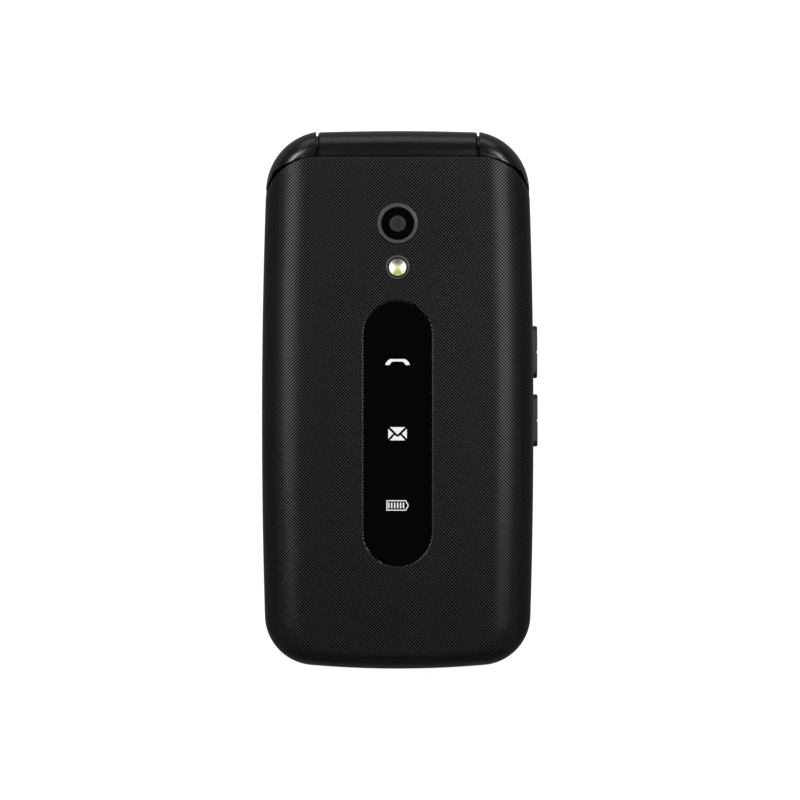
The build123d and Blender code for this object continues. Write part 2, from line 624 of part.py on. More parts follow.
with BuildPart() as main_board:
    add(block((-board_half, board_half), (board_foot, board_head), (board_z, board_z + BOARD_THICK)))
    fillet(main_board.edges().filter_by(Axis.Z), KEY_CORNER_R)
    add(block(BOARD_TAB, (tab_foot, board_foot + BAY_GAP), (board_z, board_z + BOARD_THICK)))
    # shielded radio block, microphone and battery contacts, soldered to the underside
    add(block((-SHIELD_HALF, SHIELD_HALF), (battery_head + TRAY_WALL + 2 * BATTERY_CLEAR, board_head - BAY_GAP),
              (HOUSING_SPLIT + SWEEP, board_z)))
    add(block((MIC_X - MIC_R, MIC_X + MIC_R), (tab_foot, tab_foot + 2 * MIC_R), (board_z - MIC_R, board_z)))
main_board.part.label = "main_board"
export_step(main_board.part, "parts/main_board.step")

with BuildPart() as side_switches:
    for y in side_keys.values():
        add(block((board_half + FIT, board_half + FIT + SIDE_SWITCH_W),
                  (y - SIDE_SWITCH_L / 2, y + SIDE_SWITCH_L / 2),
                  (board_z + BOARD_THICK - SIDE_SWITCH_H, board_z + BOARD_THICK - FIT)))
side_switches.part.label = "side_switches"
export_step(side_switches.part, "parts/side_switches.step")

mat_z = board_z + BOARD_THICK + FIT
with BuildPart() as keypad_mat:
    add(block((-keypad_half, keypad_half), (keypad_foot, nav_head), (mat_z, mat_z + MAT_THICK)))
    fillet(keypad_mat.edges().filter_by(Axis.Z), KEY_CORNER_R)
    with BuildSketch(Plane.XY.offset(mat_z + MAT_THICK)):
        for name, (x, y, plan) in keys.items():
            dome_y = y
            if name == "nav_up":
                dome_y = y + nav_middle_r
            if name == "nav_down":
                dome_y = y - nav_middle_r
            with Locations((x, dome_y)):
                Circle(DOME_R)
    extrude(amount=DOME_H, taper=DOME_SLOPE)
keypad_mat.part.label = "keypad_mat"
export_step(keypad_mat.part, "parts/keypad_mat.step")

with BuildPart() as loudspeaker:
    add(block((-SPEAKER[0] / 2, SPEAKER[0] / 2), (speaker_y - SPEAKER[1] / 2, speaker_y + SPEAKER[1] / 2),
              (speaker_z, speaker_z + SPEAKER[2])))
    fillet(loudspeaker.edges().filter_by(Axis.Z), SPEAKER_CORNER_R)
    with BuildSketch(Plane.XY.offset(speaker_z)):
        with Locations((0, speaker_y)):
            SlotOverall(SPEAKER[0] - LID_WALL, SPEAKER[1] - 2 * LID_WALL)
    extrude(amount=SWEEP, mode=Mode.SUBTRACT)
loudspeaker.part.label = "loudspeaker"
export_step(loudspeaker.part, "parts/loudspeaker.step")

with BuildPart() as vibration_motor:
    add(post(motor_x, motor_y, HOUSING_SPLIT - COVER_THICK + FIT,
             HOUSING_SPLIT - COVER_THICK + FIT + MOTOR_H, MOTOR_R))
    fillet(vibration_motor.edges().filter_by(GeomType.CIRCLE), KEY_EDGE)
vibration_motor.part.label = "vibration_motor"
export_step(vibration_motor.part, "parts/vibration_motor.step")

with BuildPart() as sim_holder:
    sim_z = COVER_SPLIT + SEAM + FIT
    add(block((-SIM[0] / 2, SIM[0] / 2), (sim_y - SIM[1] / 2, sim_y + SIM[1] / 2),
              (sim_z, sim_z + SIM[2] - FIT)))
    add(block((-SIM[0] / 2 + TRAY_WALL, SIM[0] / 2 - TRAY_WALL), (0, sim_y + SIM[1] / 2 - TRAY_WALL),
              (0, sim_z + SIM[2] / 2)), mode=Mode.SUBTRACT)
sim_holder.part.label = "sim_holder"
export_step(sim_holder.part, "parts/sim_holder.step")

with BuildPart() as charging_socket:
    with BuildSketch(Plane(origin=(0, usb_mouth_y, usb_z + USB[2] / 2), x_dir=(-1, 0, 0), z_dir=(0, 1, 0))):
        RectangleRounded(USB[0], USB[2], USB[2] / 2 - FIT)
    extrude(amount=USB[1])
    with BuildSketch(Plane(origin=(0, usb_mouth_y, usb_z + USB[2] / 2), x_dir=(-1, 0, 0), z_dir=(0, 1, 0))):
        RectangleRounded(USB[0] - 2 * USB_WALL, USB[2] - 2 * USB_WALL, USB[2] / 2 - FIT - USB_WALL)
    extrude(amount=USB[1] - 2 * USB_WALL, mode=Mode.SUBTRACT)
    add(block((-USB_TONGUE[0] / 2, USB_TONGUE[0] / 2),
              (usb_mouth_y + USB[1] - 2 * USB_WALL - USB_TONGUE[1], usb_mouth_y + USB[1] - USB_WALL),
              (usb_z + (USB[2] - USB_TONGUE[2]) / 2, usb_z + (USB[2] + USB_TONGUE[2]) / 2)))
charging_socket.part.label = "charging_socket"
export_step(charging_socket.part, "parts/charging_socket.step")

jack_plane = Plane(origin=(jack_mouth_x, jack_y, jack_z), x_dir=(0, 1, 0), z_dir=(1, 0, 0))
with BuildPart() as headset_jack:
    with BuildSketch(jack_plane.offset(jack_shoulder_x - jack_mouth_x)):
        Rectangle(JACK_BODY[1], JACK_BODY[2])
    extrude(amount=JACK_BODY[0])
    with BuildSketch(jack_plane):
        Circle(JACK_NOSE_R)
    extrude(amount=2 * WALL)
    with BuildSketch(jack_plane):
        Circle(JACK_BORE_R)
    extrude(amount=JACK_DEPTH, mode=Mode.SUBTRACT)
headset_jack.part.label = "headset_jack"
export_step(headset_jack.part, "parts/headset_jack.step")


def screw(x, y, z, length, direction=1):
    """A pan-head screw whose head's outer face is at z and whose shank runs along Z."""
    with BuildPart() as fastener:
        with BuildSketch(Plane.XY.offset(z)):
            with Locations((x, y)):
                Circle(SCREW_HEAD_R)
        extrude(amount=direction * SCREW_HEAD_H)
        fillet(fastener.edges().filter_by(GeomType.CIRCLE).sort_by(Axis.Z)[0], SCREW_HEAD_EDGE)
        with BuildSketch(Plane.XY.offset(z)):
            with Locations((x, y)):
                RegularPolygon(SCREW_R, 6)
        extrude(amount=SCREW_HEAD_H / 2, mode=Mode.SUBTRACT)
        with BuildSketch(Plane.XY.offset(z + SCREW_HEAD_H)):
            with Locations((x, y)):
                Circle(SCREW_R)
        extrude(amount=length)
    return fastener.part


with BuildPart() as base_screws:
    for x, y, z in base_screws_at:
        add(screw(x, y, z, SCREW_LENGTH))
base_screws.part.label = "base_screws"
export_step(base_screws.part, "parts/base_screws.step")

# ---- Lid: places -------------------------------------------------------------------------
camera_y = lid_head - CAMERA_DROP
flash_y = camera_y - FLASH_DROP
window_head = flash_y - WINDOW_DROP
window_y = window_head - WINDOW_LENGTH / 2
roof_z = lid_top - LID_WALL
cover_z = lid_floor + FRAME_THICK + SEAM
turn_z = lid_top - LID_ROLL_DROP
window_z = lid_top + FIT - WINDOW_THICK
glass_w = WIDTH - 2 * GLASS_SIDE_MARGIN
glass_length = lid_head - GLASS_HEAD_MARGIN - (foot + GLASS_FOOT_MARGIN)
glass_y = foot + GLASS_FOOT_MARGIN + glass_length / 2
display_half = WIDTH / 2 - DISPLAY_SIDE_MARGIN
display_foot = foot + DISPLAY_FOOT_MARGIN
display_head = camera_y - CAMERA_BODY / 2 - BATTERY_CLEAR
display_z = lid_floor + FRAME_THICK + FIT
lid_board_z = display_z + DISPLAY_H + BATTERY_CLEAR
lid_board_head = flash_y + FLASH_LED
ear_y = foot + EARPIECE_FOOT
guide_z = lid_board_z + LID_BOARD_THICK + FIT
lid_screws_at = [(x, y) for x, y in both_sides(WIDTH / 2 - LID_SCREW_FOOT[0], foot + LID_SCREW_FOOT[1])]
lid_screws_at += [(x, y) for x, y in both_sides(WIDTH / 2 - LID_SCREW_HEAD[0], hinge_y - LID_SCREW_HEAD[1])]
lid_screw_z = lid_floor + PLUG_THICK + FIT
bumpers_at = both_sides(BUMPER_X, foot + BUMPER_FOOT)
light_places = [window_y + WINDOW_PITCH * step for step in (-1, 0, 1)]

# ---- Lid: outer cover --------------------------------------------------------------------
with BuildPart() as lid_blank:
    add(rolled_body(cover_z, turn_z, lid_top, LENGTH / 2, LID_SIDE_ROLL, LID_FOOT_ROLL))
    add(head_cutter(0.0), mode=Mode.SUBTRACT)
    add(rod(swing_r, -WIDTH, WIDTH), mode=Mode.SUBTRACT)

with BuildPart() as lid_hollow:
    add(rolled_body(lid_floor, turn_z, roof_z, LENGTH / 2, LID_SIDE_ROLL, LID_FOOT_ROLL,
                    inset=LID_WALL))
    add(head_cutter(LID_WALL), mode=Mode.SUBTRACT)
    # walls stay beside the barrel, concave round the shoulders
    add(rod(swing_r + LID_WALL, -WIDTH, WIDTH), mode=Mode.SUBTRACT)
    add(block((-BARREL_HALF - SEAM, BARREL_HALF + SEAM), (cavity_head - 2 * LID_WALL, hinge_y),
              (lid_floor, roof_z)))

with BuildPart() as lid_cover:
    add(lid_blank.part)
    add(lid_hollow.part, mode=Mode.SUBTRACT)
    for x, y in lid_screws_at:
        add(post(x, y, cover_z + FRAME_RIM_H, roof_z + LID_WALL / 2, BOSS_R))
        add(post(x, y, lid_floor, lid_screw_z + SCREW_HEAD_H + LID_SCREW_LENGTH + SCREW_CLEAR,
                 SCREW_R + SCREW_CLEAR), mode=Mode.SUBTRACT)
    # holes for camera and flash, recess and light slots of the status window
    add(post(0, camera_y, roof_z - FIT, far, CAMERA_RING_R + FIT), mode=Mode.SUBTRACT)
    add(post(0, flash_y, roof_z - FIT, far, FLASH_RIM_R + FIT), mode=Mode.SUBTRACT)
    with BuildSketch(Plane.XY.offset(window_z - FIT)):
        with Locations((0, window_y)):
            SlotOverall(WINDOW_LENGTH + 2 * FIT, WINDOW_W + 2 * FIT, rotation=90)
    extrude(amount=LID_HEIGHT, mode=Mode.SUBTRACT)
    for y in light_places:
        add(block((-LIGHT_SLOT[0] / 2, LIGHT_SLOT[0] / 2), (y - LIGHT_SLOT[1] / 2, y + LIGHT_SLOT[1] / 2),
                  (roof_z - FIT, window_z)), mode=Mode.SUBTRACT)
lid_cover.part.label = "lid_cover"
export_step(lid_cover.part, "parts/lid_cover.step")

# ---- Lid: inner frame with the hinge barrel ----------------------------------------------
cartridge_x = BARREL_HALF - SWEEP - CARTRIDGE_LENGTH
pin_inner_x = pin_end_x - PIN_LENGTH
flex_inner_x = pin_inner_x - FLEX_TAIL - SWEEP
with BuildPart() as lid_frame:
    add(outline(lid_floor, LENGTH / 2))
    extrude(amount=FRAME_THICK)
    fillet(lid_frame.edges().group_by(Axis.Z)[0].sort_by(Axis.Y)[:-1], FRAME_EDGE)
    add(head_cutter(0.0), mode=Mode.SUBTRACT)
    # rim that locates the cover
    add(outline(lid_floor + FRAME_THICK, cavity_head - LID_WALL, LID_WALL + FIT, LID_WALL + FIT))
    extrude(amount=FRAME_RIM_H)
    add(outline(lid_floor + FRAME_THICK, cavity_head - LID_WALL - FRAME_RIM,
                LID_WALL + FIT + FRAME_RIM, LID_WALL + FIT + FRAME_RIM))
    extrude(amount=FRAME_RIM_H, mode=Mode.SUBTRACT)
    add(rod(swing_r, -WIDTH, WIDTH), mode=Mode.SUBTRACT)
    # web and barrel
    add(block((-BARREL_HALF, BARREL_HALF), (cavity_head - LID_WALL, hinge_y), (lid_floor, roof_z - FIT)))
    with BuildSketch(Plane.XY.offset(hinge_z)):
        with BuildLine():
            ends_y = hinge_y + HINGE_R - BARREL_HALF ** 2 / (2 * BARREL_CROWN_R)
            ThreePointArc((BARREL_EDGE - BARREL_HALF, ends_y), (0, hinge_y + HINGE_R),
                          (BARREL_HALF - BARREL_EDGE, ends_y))
            Polyline((BARREL_HALF - BARREL_EDGE, ends_y), (BARREL_HALF, ends_y - BARREL_EDGE),
                     (BARREL_HALF, hinge_y), (-BARREL_HALF, hinge_y), (-BARREL_HALF, ends_y - BARREL_EDGE),
                     (BARREL_EDGE - BARREL_HALF, ends_y))
        make_face()
    revolve(axis=hinge_axis)
    add(rod(SPIGOT_R, -spigot_x, spigot_x))
    add(rod(CARTRIDGE_R + FIT, cartridge_x - FIT, spigot_x + SEAM), mode=Mode.SUBTRACT)
    add(rod(PIN_R + RUN, -spigot_x - SEAM, -pin_inner_x + RUN), mode=Mode.SUBTRACT)
    add(rod(FLEX_R + 2 * RUN, -pin_inner_x, -flex_inner_x + 2 * RUN), mode=Mode.SUBTRACT)
    add(block((-pin_inner_x, -flex_inner_x + 2 * RUN), (cavity_head - 2 * LID_WALL, hinge_y),
              (hinge_z - FLEX_THICK / 2 - FIT, hinge_z + FLEX_THICK / 2 + FIT)), mode=Mode.SUBTRACT)
    # display glass pocket, view window and earpiece slot
    with BuildSketch(Plane.XY.offset(lid_floor)):
        with Locations((0, glass_y)):
            RectangleRounded(glass_w + 2 * FIT, glass_length + 2 * FIT, GLASS_CORNER_R + FIT)
        with Locations((0, ear_y)):
            SlotOverall(EAR_SLOT[0] + 2 * FIT, EAR_SLOT[1] + 2 * FIT)
    extrude(amount=GLASS_THICK + 3 * FIT, mode=Mode.SUBTRACT)
    add(block((VIEW_SIDE_BORDER - FRAME_EDGE - display_half, display_half - VIEW_SIDE_BORDER + FRAME_EDGE),
              (display_foot + VIEW_END_BORDER - FRAME_EDGE, display_head - VIEW_END_BORDER + FRAME_EDGE),
              (lid_floor, lid_floor + 2 * FRAME_THICK)), mode=Mode.SUBTRACT)
    with BuildSketch(Plane.XY.offset(lid_floor)):
        with Locations((0, ear_y)):
            SlotOverall(EAR_SLOT[0] - LID_WALL, EAR_SLOT[1] - LID_WALL)
    extrude(amount=2 * FRAME_THICK, mode=Mode.SUBTRACT)
    for x, y in lid_screws_at:
        add(post(x, y, lid_floor + FRAME_EDGE, lid_floor + FRAME_THICK + FRAME_RIM_H - FIT,
                 BOSS_R + FRAME_EDGE))
        add(post(x, y, lid_floor - SEAM, lid_screw_z + SCREW_HEAD_H, PLUG_R + FIT), mode=Mode.SUBTRACT)
        add(post(x, y, 0, lid_top, SCREW_R + SCREW_CLEAR), mode=Mode.SUBTRACT)
    for x, y in bumpers_at:
        add(block((x - BUMPER[0] / 2 - FIT, x + BUMPER[0] / 2 + FIT),
                  (y - BUMPER[1] / 2 - FIT, y + BUMPER[1] / 2 + FIT),
                  (lid_floor - SEAM, lid_floor + BUMPER_SEAT + FIT)), mode=Mode.SUBTRACT)
lid_frame.part.label = "lid_frame"
export_step(lid_frame.part, "parts/lid_frame.step")

# ---- Lid: camera, flash and status window ------------------------------------------------
def collared_ring(y, outer_r, bore_r, top_z):
    """A ring through the lid's face, with a collar that holds it under the roof."""
    with BuildPart() as ring:
        add(post(0, y, roof_z - FIT - COLLAR_THICK, roof_z - FIT, outer_r + COLLAR))
        add(post(0, y, roof_z - FIT, top_z, outer_r))
        fillet(ring.edges().filter_by(GeomType.CIRCLE).sort_by(Axis.Z)[-1], 2 * FIT)
        add(post(0, y, 0, far, bore_r), mode=Mode.SUBTRACT)
    return ring.part


camera_window_z = lid_top + FIT - CAMERA_WINDOW_THICK
with BuildPart() as camera_ring:
    add(collared_ring(camera_y, CAMERA_RING_R, CAMERA_LEDGE_R, lid_top + CAMERA_RING_PROUD))
    add(post(0, camera_y, camera_window_z - FIT, far, CAMERA_RING_BORE_R), mode=Mode.SUBTRACT)
camera_ring.part.label = "camera_ring"
export_step(camera_ring.part, "parts/camera_ring.step")

with BuildPart() as camera_window:
    add(post(0, camera_y, camera_window_z, camera_window_z + CAMERA_WINDOW_THICK, CAMERA_RING_BORE_R - FIT))
camera_window.part.label = "camera_window"
export_step(camera_window.part, "parts/camera_window.step")

camera_top = roof_z - 2 * FIT - COLLAR_THICK
with BuildPart() as camera_module:
    add(block((-CAMERA_BODY / 2, CAMERA_BODY / 2), (camera_y - CAMERA_BODY / 2, camera_y + CAMERA_BODY / 2),
              (camera_top - CAMERA_BODY_H, camera_top)))
    fillet(camera_module.edges().filter_by(Axis.Z), CAMERA_BODY_EDGE)
    add(post(0, camera_y, camera_top, camera_window_z - 2 * FIT, CAMERA_LENS_R))
camera_module.part.label = "camera_module"
export_step(camera_module.part, "parts/camera_module.step")

with BuildPart() as flash_rim:
    add(collared_ring(flash_y, FLASH_RIM_R, FLASH_RIM_BORE_R, lid_top + FIT))
flash_rim.part.label = "flash_rim"
export_step(flash_rim.part, "parts/flash_rim.step")

flash_lens_z = roof_z - COLLAR_THICK
with BuildPart() as flash_lens:
    add(post(0, flash_y, flash_lens_z, flash_lens_z + COLLAR_THICK, FLASH_RIM_BORE_R - FIT))
    add(post(0, flash_y, flash_lens_z, lid_top - FLASH_LENS_SUNK, FLASH_LENS_R))
flash_lens.part.label = "flash_lens"
export_step(flash_lens.part, "parts/flash_lens.step")

with BuildPart() as flash_led:
    add(block((-FLASH_LED / 2, FLASH_LED / 2), (flash_y - FLASH_LED / 2, flash_y + FLASH_LED / 2),
              (guide_z, guide_z + FLASH_LED_H)))
flash_led.part.label = "flash_led"
export_step(flash_led.part, "parts/flash_led.step")

with BuildPart() as status_window:
    with BuildSketch(Plane.XY.offset(window_z)):
        with Locations((0, window_y)):
            SlotOverall(WINDOW_LENGTH, WINDOW_W, rotation=90)
    extrude(amount=WINDOW_THICK)
    chamfer(status_window.faces().sort_by(Axis.Z)[-1].outer_wire().edges(), WINDOW_EDGE)
status_window.part.label = "status_window"
export_step(status_window.part, "parts/status_window.step")

with BuildPart() as status_light_guide:
    add(block((-LIGHT_SLOT[0] / 2, LIGHT_SLOT[0] / 2),
              (light_places[0] - LIGHT_SLOT[1] / 2, light_places[-1] + LIGHT_SLOT[1] / 2),
              (guide_z, guide_z + GUIDE_THICK)))
    for y in light_places:
        add(block((-LIGHT_SLOT[0] / 2 + FIT, LIGHT_SLOT[0] / 2 - FIT),
                  (y - LIGHT_SLOT[1] / 2 + FIT, y + LIGHT_SLOT[1] / 2 - FIT),
                  (guide_z, window_z - 2 * FIT)))
status_light_guide.part.label = "status_light_guide"
export_step(status_light_guide.part, "parts/status_light_guide.step")

# ---- Lid: display, board and earpiece ----------------------------------------------------
with BuildPart() as display_glass:
    with BuildSketch(Plane.XY.offset(lid_floor + 2 * FIT)):
        with Locations((0, glass_y)):
            RectangleRounded(glass_w, glass_length, GLASS_CORNER_R)
    extrude(amount=GLASS_THICK)
display_glass.part.label = "display_glass"
export_step(display_glass.part, "parts/display_glass.step")

with BuildPart() as display_module:
    add(block((-display_half, display_half), (display_foot, display_head),
              (display_z, display_z + DISPLAY_H)))
    fillet(display_module.edges().filter_by(Axis.Z), GLASS_CORNER_R / 2)
display_module.part.label = "display_module"
export_step(display_module.part, "parts/display_module.step")

with BuildPart() as lid_board:
    add(block((LID_BOARD_SIDE_MARGIN - WIDTH / 2, WIDTH / 2 - LID_BOARD_SIDE_MARGIN),
              (foot + LID_BOARD_FOOT_MARGIN, lid_board_head), (lid_board_z, lid_board_z + LID_BOARD_THICK)))
    fillet(lid_board.edges().filter_by(Axis.Z), GLASS_CORNER_R)
lid_board.part.label = "lid_board"
export_step(lid_board.part, "parts/lid_board.step")

with BuildPart() as earpiece:
    add(block((-EARPIECE[0] / 2, EARPIECE[0] / 2), (ear_y - EARPIECE[1] / 2, ear_y + EARPIECE[1] / 2),
              (display_z, display_z + EARPIECE[2])))
    fillet(earpiece.edges().filter_by(Axis.Z), EARPIECE_CORNER_R)
earpiece.part.label = "earpiece"
export_step(earpiece.part, "parts/earpiece.step")

mesh_z = lid_floor + GLASS_THICK + 2 * FIT - EAR_MESH_THICK
with BuildPart() as earpiece_grille:
    with BuildSketch(Plane.XY.offset(mesh_z)):
        with Locations((0, ear_y)):
            SlotOverall(EAR_SLOT[0], EAR_SLOT[1])
            with GridLocations(EAR_HOLE_PITCH_X, EAR_HOLE_PITCH_Y, *EAR_HOLES):
                Circle(EAR_HOLE_R, mode=Mode.SUBTRACT)
    extrude(amount=EAR_MESH_THICK)
earpiece_grille.part.label = "earpiece_grille"
export_step(earpiece_grille.part, "parts/earpiece_grille.step")

with BuildPart() as lid_screws:
    for x, y in lid_screws_at:
        add(screw(x, y, lid_screw_z, LID_SCREW_LENGTH))
lid_screws.part.label = "lid_screws"
export_step(lid_screws.part, "parts/lid_screws.step")

with BuildPart() as screw_plugs:
    for x, y in lid_screws_at:
        add(post(x, y, lid_floor, lid_floor + PLUG_THICK, PLUG_R))
screw_plugs.part.label = "screw_plugs"
export_step(screw_plugs.part, "parts/screw_plugs.step")

with BuildPart() as lid_bumpers:
    for x, y in bumpers_at:
        add(block((x - BUMPER[0] / 2, x + BUMPER[0] / 2), (y - BUMPER[1] / 2, y + BUMPER[1] / 2),
                  (lid_floor - BUMPER_PROUD, lid_floor + BUMPER_SEAT)))
    fillet(lid_bumpers.edges().filter_by(Axis.Z), BUMPER[1] / 2 - FIT)
lid_bumpers.part.label = "lid_bumpers"
export_step(lid_bumpers.part, "parts/lid_bumpers.step")

# ---- Hinge mechanism ---------------------------------------------------------------------
cartridge_end = cartridge_x + CARTRIDGE_LENGTH
hollow_r = CARTRIDGE_R - CARTRIDGE_WALL
with BuildPart() as hinge_cartridge:
    add(rod(CARTRIDGE_R, cartridge_x, cartridge_end))
    add(rod(hollow_r, cartridge_x + CARTRIDGE_CAP, cartridge_end - CARTRIDGE_CAP), mode=Mode.SUBTRACT)
    add(rod(SHAFT_R + RUN, cartridge_end - 2 * CARTRIDGE_CAP, cartridge_end + SEAM), mode=Mode.SUBTRACT)
hinge_cartridge.part.label = "hinge_cartridge"
export_step(hinge_cartridge.part, "parts/hinge_cartridge.step")

with BuildPart() as hinge_shaft:
    add(rod(SHAFT_R, cartridge_x + CARTRIDGE_CAP + KEY_CLEAR, shoulder_x + FIT))
    with BuildSketch(axis_plane.offset(shoulder_x + FIT)):
        Circle(SHAFT_HEAD_R)
        with Locations((0, -SHAFT_HEAD_FLAT - SHAFT_HEAD_R)):
            Rectangle(4 * SHAFT_HEAD_R, 2 * SHAFT_HEAD_R, mode=Mode.SUBTRACT)
    extrude(amount=SHAFT_HEAD_LENGTH)
hinge_shaft.part.label = "hinge_shaft"
export_step(hinge_shaft.part, "parts/hinge_shaft.step")


def cam_ring(outer_r, bore_r, x_from, x_to, lobe_x, across):
    """A ring on the hinge axis with two raised lobes, on the face nearer to lobe_x."""
    with BuildPart() as cam:
        add(rod(outer_r, min(x_from, lobe_x), max(x_to, lobe_x)))
        gap_x = (lobe_x, x_from) if lobe_x < x_from else (x_to, lobe_x)
        for side in (-1, 1):
            shift = side * (SHAFT_R + outer_r)
            y_shift = shift if across else 0
            z_shift = 0 if across else shift
            add(block(gap_x, (hinge_y + y_shift - outer_r, hinge_y + y_shift + outer_r),
                      (hinge_z + z_shift - outer_r, hinge_z + z_shift + outer_r)), mode=Mode.SUBTRACT)
        add(rod(bore_r, 0, 2 * BARREL_HALF), mode=Mode.SUBTRACT)
    return cam.part


cam_x = cartridge_end - CARTRIDGE_CAP - 2 * FIT - CAM_THICK
with BuildPart() as hinge_cam:
    add(cam_ring(hollow_r - 2 * RUN, SHAFT_R + FIT / 2, cam_x, cam_x + CAM_THICK, cam_x - CAM_LOBE, True))
hinge_cam.part.label = "hinge_cam"
export_step(hinge_cam.part, "parts/hinge_cam.step")

follower_x = cam_x - 2 * CAM_LOBE - FIT - FOLLOWER_THICK
with BuildPart() as hinge_follower:
    add(cam_ring(hollow_r - RUN, SHAFT_R + RUN, follower_x, follower_x + FOLLOWER_THICK,
                 follower_x + FOLLOWER_THICK + CAM_LOBE, False))
hinge_follower.part.label = "hinge_follower"
export_step(hinge_follower.part, "parts/hinge_follower.step")

spring_from = cartridge_x + CARTRIDGE_CAP + SPRING_WIRE_R + FIT
spring_length = follower_x - SPRING_WIRE_R - FIT - spring_from
with BuildPart() as hinge_spring:
    with BuildLine():
        coil = Helix(spring_length / SPRING_TURNS, spring_length, SPRING_R,
                     center=(spring_from, hinge_y, hinge_z), direction=(1, 0, 0))
    with BuildSketch(Plane(origin=coil @ 0, z_dir=coil % 0)):
        Circle(SPRING_WIRE_R)
    sweep(path=coil, is_frenet=True)
hinge_spring.part.label = "hinge_spring"
export_step(hinge_spring.part, "parts/hinge_spring.step")

with BuildPart() as hinge_pin:
    add(rod(PIN_R, -pin_end_x, -pin_inner_x))
    add(rod(PIN_BORE_R, -pin_end_x - SEAM, -pin_inner_x + SEAM), mode=Mode.SUBTRACT)
hinge_pin.part.label = "hinge_pin"
export_step(hinge_pin.part, "parts/hinge_pin.step")

with BuildPart() as hinge_flex:
    add(rod(FLEX_R, -pin_end_x + SWEEP, -flex_inner_x))
    add(block((-flex_inner_x - FLEX_TAIL, -flex_inner_x), (cavity_head - 2 * LID_WALL + SEAM, hinge_y),
              (hinge_z - FLEX_THICK / 2, hinge_z + FLEX_THICK / 2)))
hinge_flex.part.label = "hinge_flex"
export_step(hinge_flex.part, "parts/hinge_flex.step")
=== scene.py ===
"""Looks of a clamshell phone, built round its fixed CAD frame, laid out as a Blender add-on.

All places are in metres in the CAD frame: X across the phone, +Y towards the hinge, +Z out of the
lid. The origin is the middle of the flat back.
"""

import json
import math

import bmesh
import bpy
import numpy as np
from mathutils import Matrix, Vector
from mathutils.geometry import tessellate_polygon


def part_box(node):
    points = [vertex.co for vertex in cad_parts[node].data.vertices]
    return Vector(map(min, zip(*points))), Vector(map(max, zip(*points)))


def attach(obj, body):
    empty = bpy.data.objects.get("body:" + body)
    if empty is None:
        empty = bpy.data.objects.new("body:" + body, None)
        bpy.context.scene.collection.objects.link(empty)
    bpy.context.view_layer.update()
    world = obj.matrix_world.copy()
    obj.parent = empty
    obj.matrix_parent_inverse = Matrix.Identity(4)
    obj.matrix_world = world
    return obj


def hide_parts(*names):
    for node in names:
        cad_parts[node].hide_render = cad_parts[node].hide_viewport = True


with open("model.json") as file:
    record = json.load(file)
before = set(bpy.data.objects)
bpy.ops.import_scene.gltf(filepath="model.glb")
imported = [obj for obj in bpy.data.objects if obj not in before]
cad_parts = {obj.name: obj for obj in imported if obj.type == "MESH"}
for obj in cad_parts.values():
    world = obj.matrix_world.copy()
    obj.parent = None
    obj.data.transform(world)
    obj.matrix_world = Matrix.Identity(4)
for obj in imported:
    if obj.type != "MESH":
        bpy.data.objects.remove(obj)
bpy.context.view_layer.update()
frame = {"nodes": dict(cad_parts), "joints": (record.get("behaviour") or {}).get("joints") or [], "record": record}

bl_info = {
    "name": "Clamshell phone looks",
    "version": (1, 0, 0),
    "blender": (4, 5, 0),
    "location": "3D View > Sidebar > Phone",
    "description": "Builds the coated lid, optics, symbols, key legends and finishes of a clamshell phone",
    "category": "Object",
}

MM = 0.001
SAME_PLACE = 1e-7           # points nearer than this are one
NODE_BODY = {node: body for body, nodes in frame["record"]["behaviour"]["bodies"].items() for node in nodes}
NODE_SLOT = {row["node"]: row["material_slot"] for row in frame["record"]["subparts"]}
COVER_LOW, COVER_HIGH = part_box("lid_cover")
WINDOW_LOW, WINDOW_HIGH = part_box("status_window")
KEY_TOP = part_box("key_5")[1].z
HINGE = frame["joints"][0]["pos_m"]


def middle_of(node):
    """Middle of a CAD node's box, seen from above."""
    low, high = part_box(node)
    return np.array([(low.x + high.x) / 2, (low.y + high.y) / 2])


CAMERA_AT = (0.0, middle_of("camera_ring")[1])
FLASH_AT = (0.0, middle_of("flash_rim")[1])
WINDOW_AT = (0.0, middle_of("status_window")[1])


# ---- Sizes and colours ---------------------------------------------------------------------
def length(name, description, millimetres):
    """A size property in metres, given in millimetres."""
    return bpy.props.FloatProperty(name=name, description=description, default=millimetres * MM,
                                   min=0.0, subtype="DISTANCE", unit="LENGTH", precision=5)


def colour(name, description, text):
    """A colour property, given as sRGB hex."""
    return bpy.props.FloatVectorProperty(name=name, description=description, size=4, min=0.0, max=1.0,
                                         default=linear(text), subtype="COLOR")


def linear(text):
    """Turns an sRGB hex value into linear red, green, blue and alpha."""
    channels = np.array([int(text[i:i + 2], 16) for i in (0, 2, 4)]) / 255
    low = channels / 12.92
    high = ((channels + 0.055) / 1.055) ** 2.4
    return (*np.where(channels <= 0.04045, low, high).tolist(), 1.0)


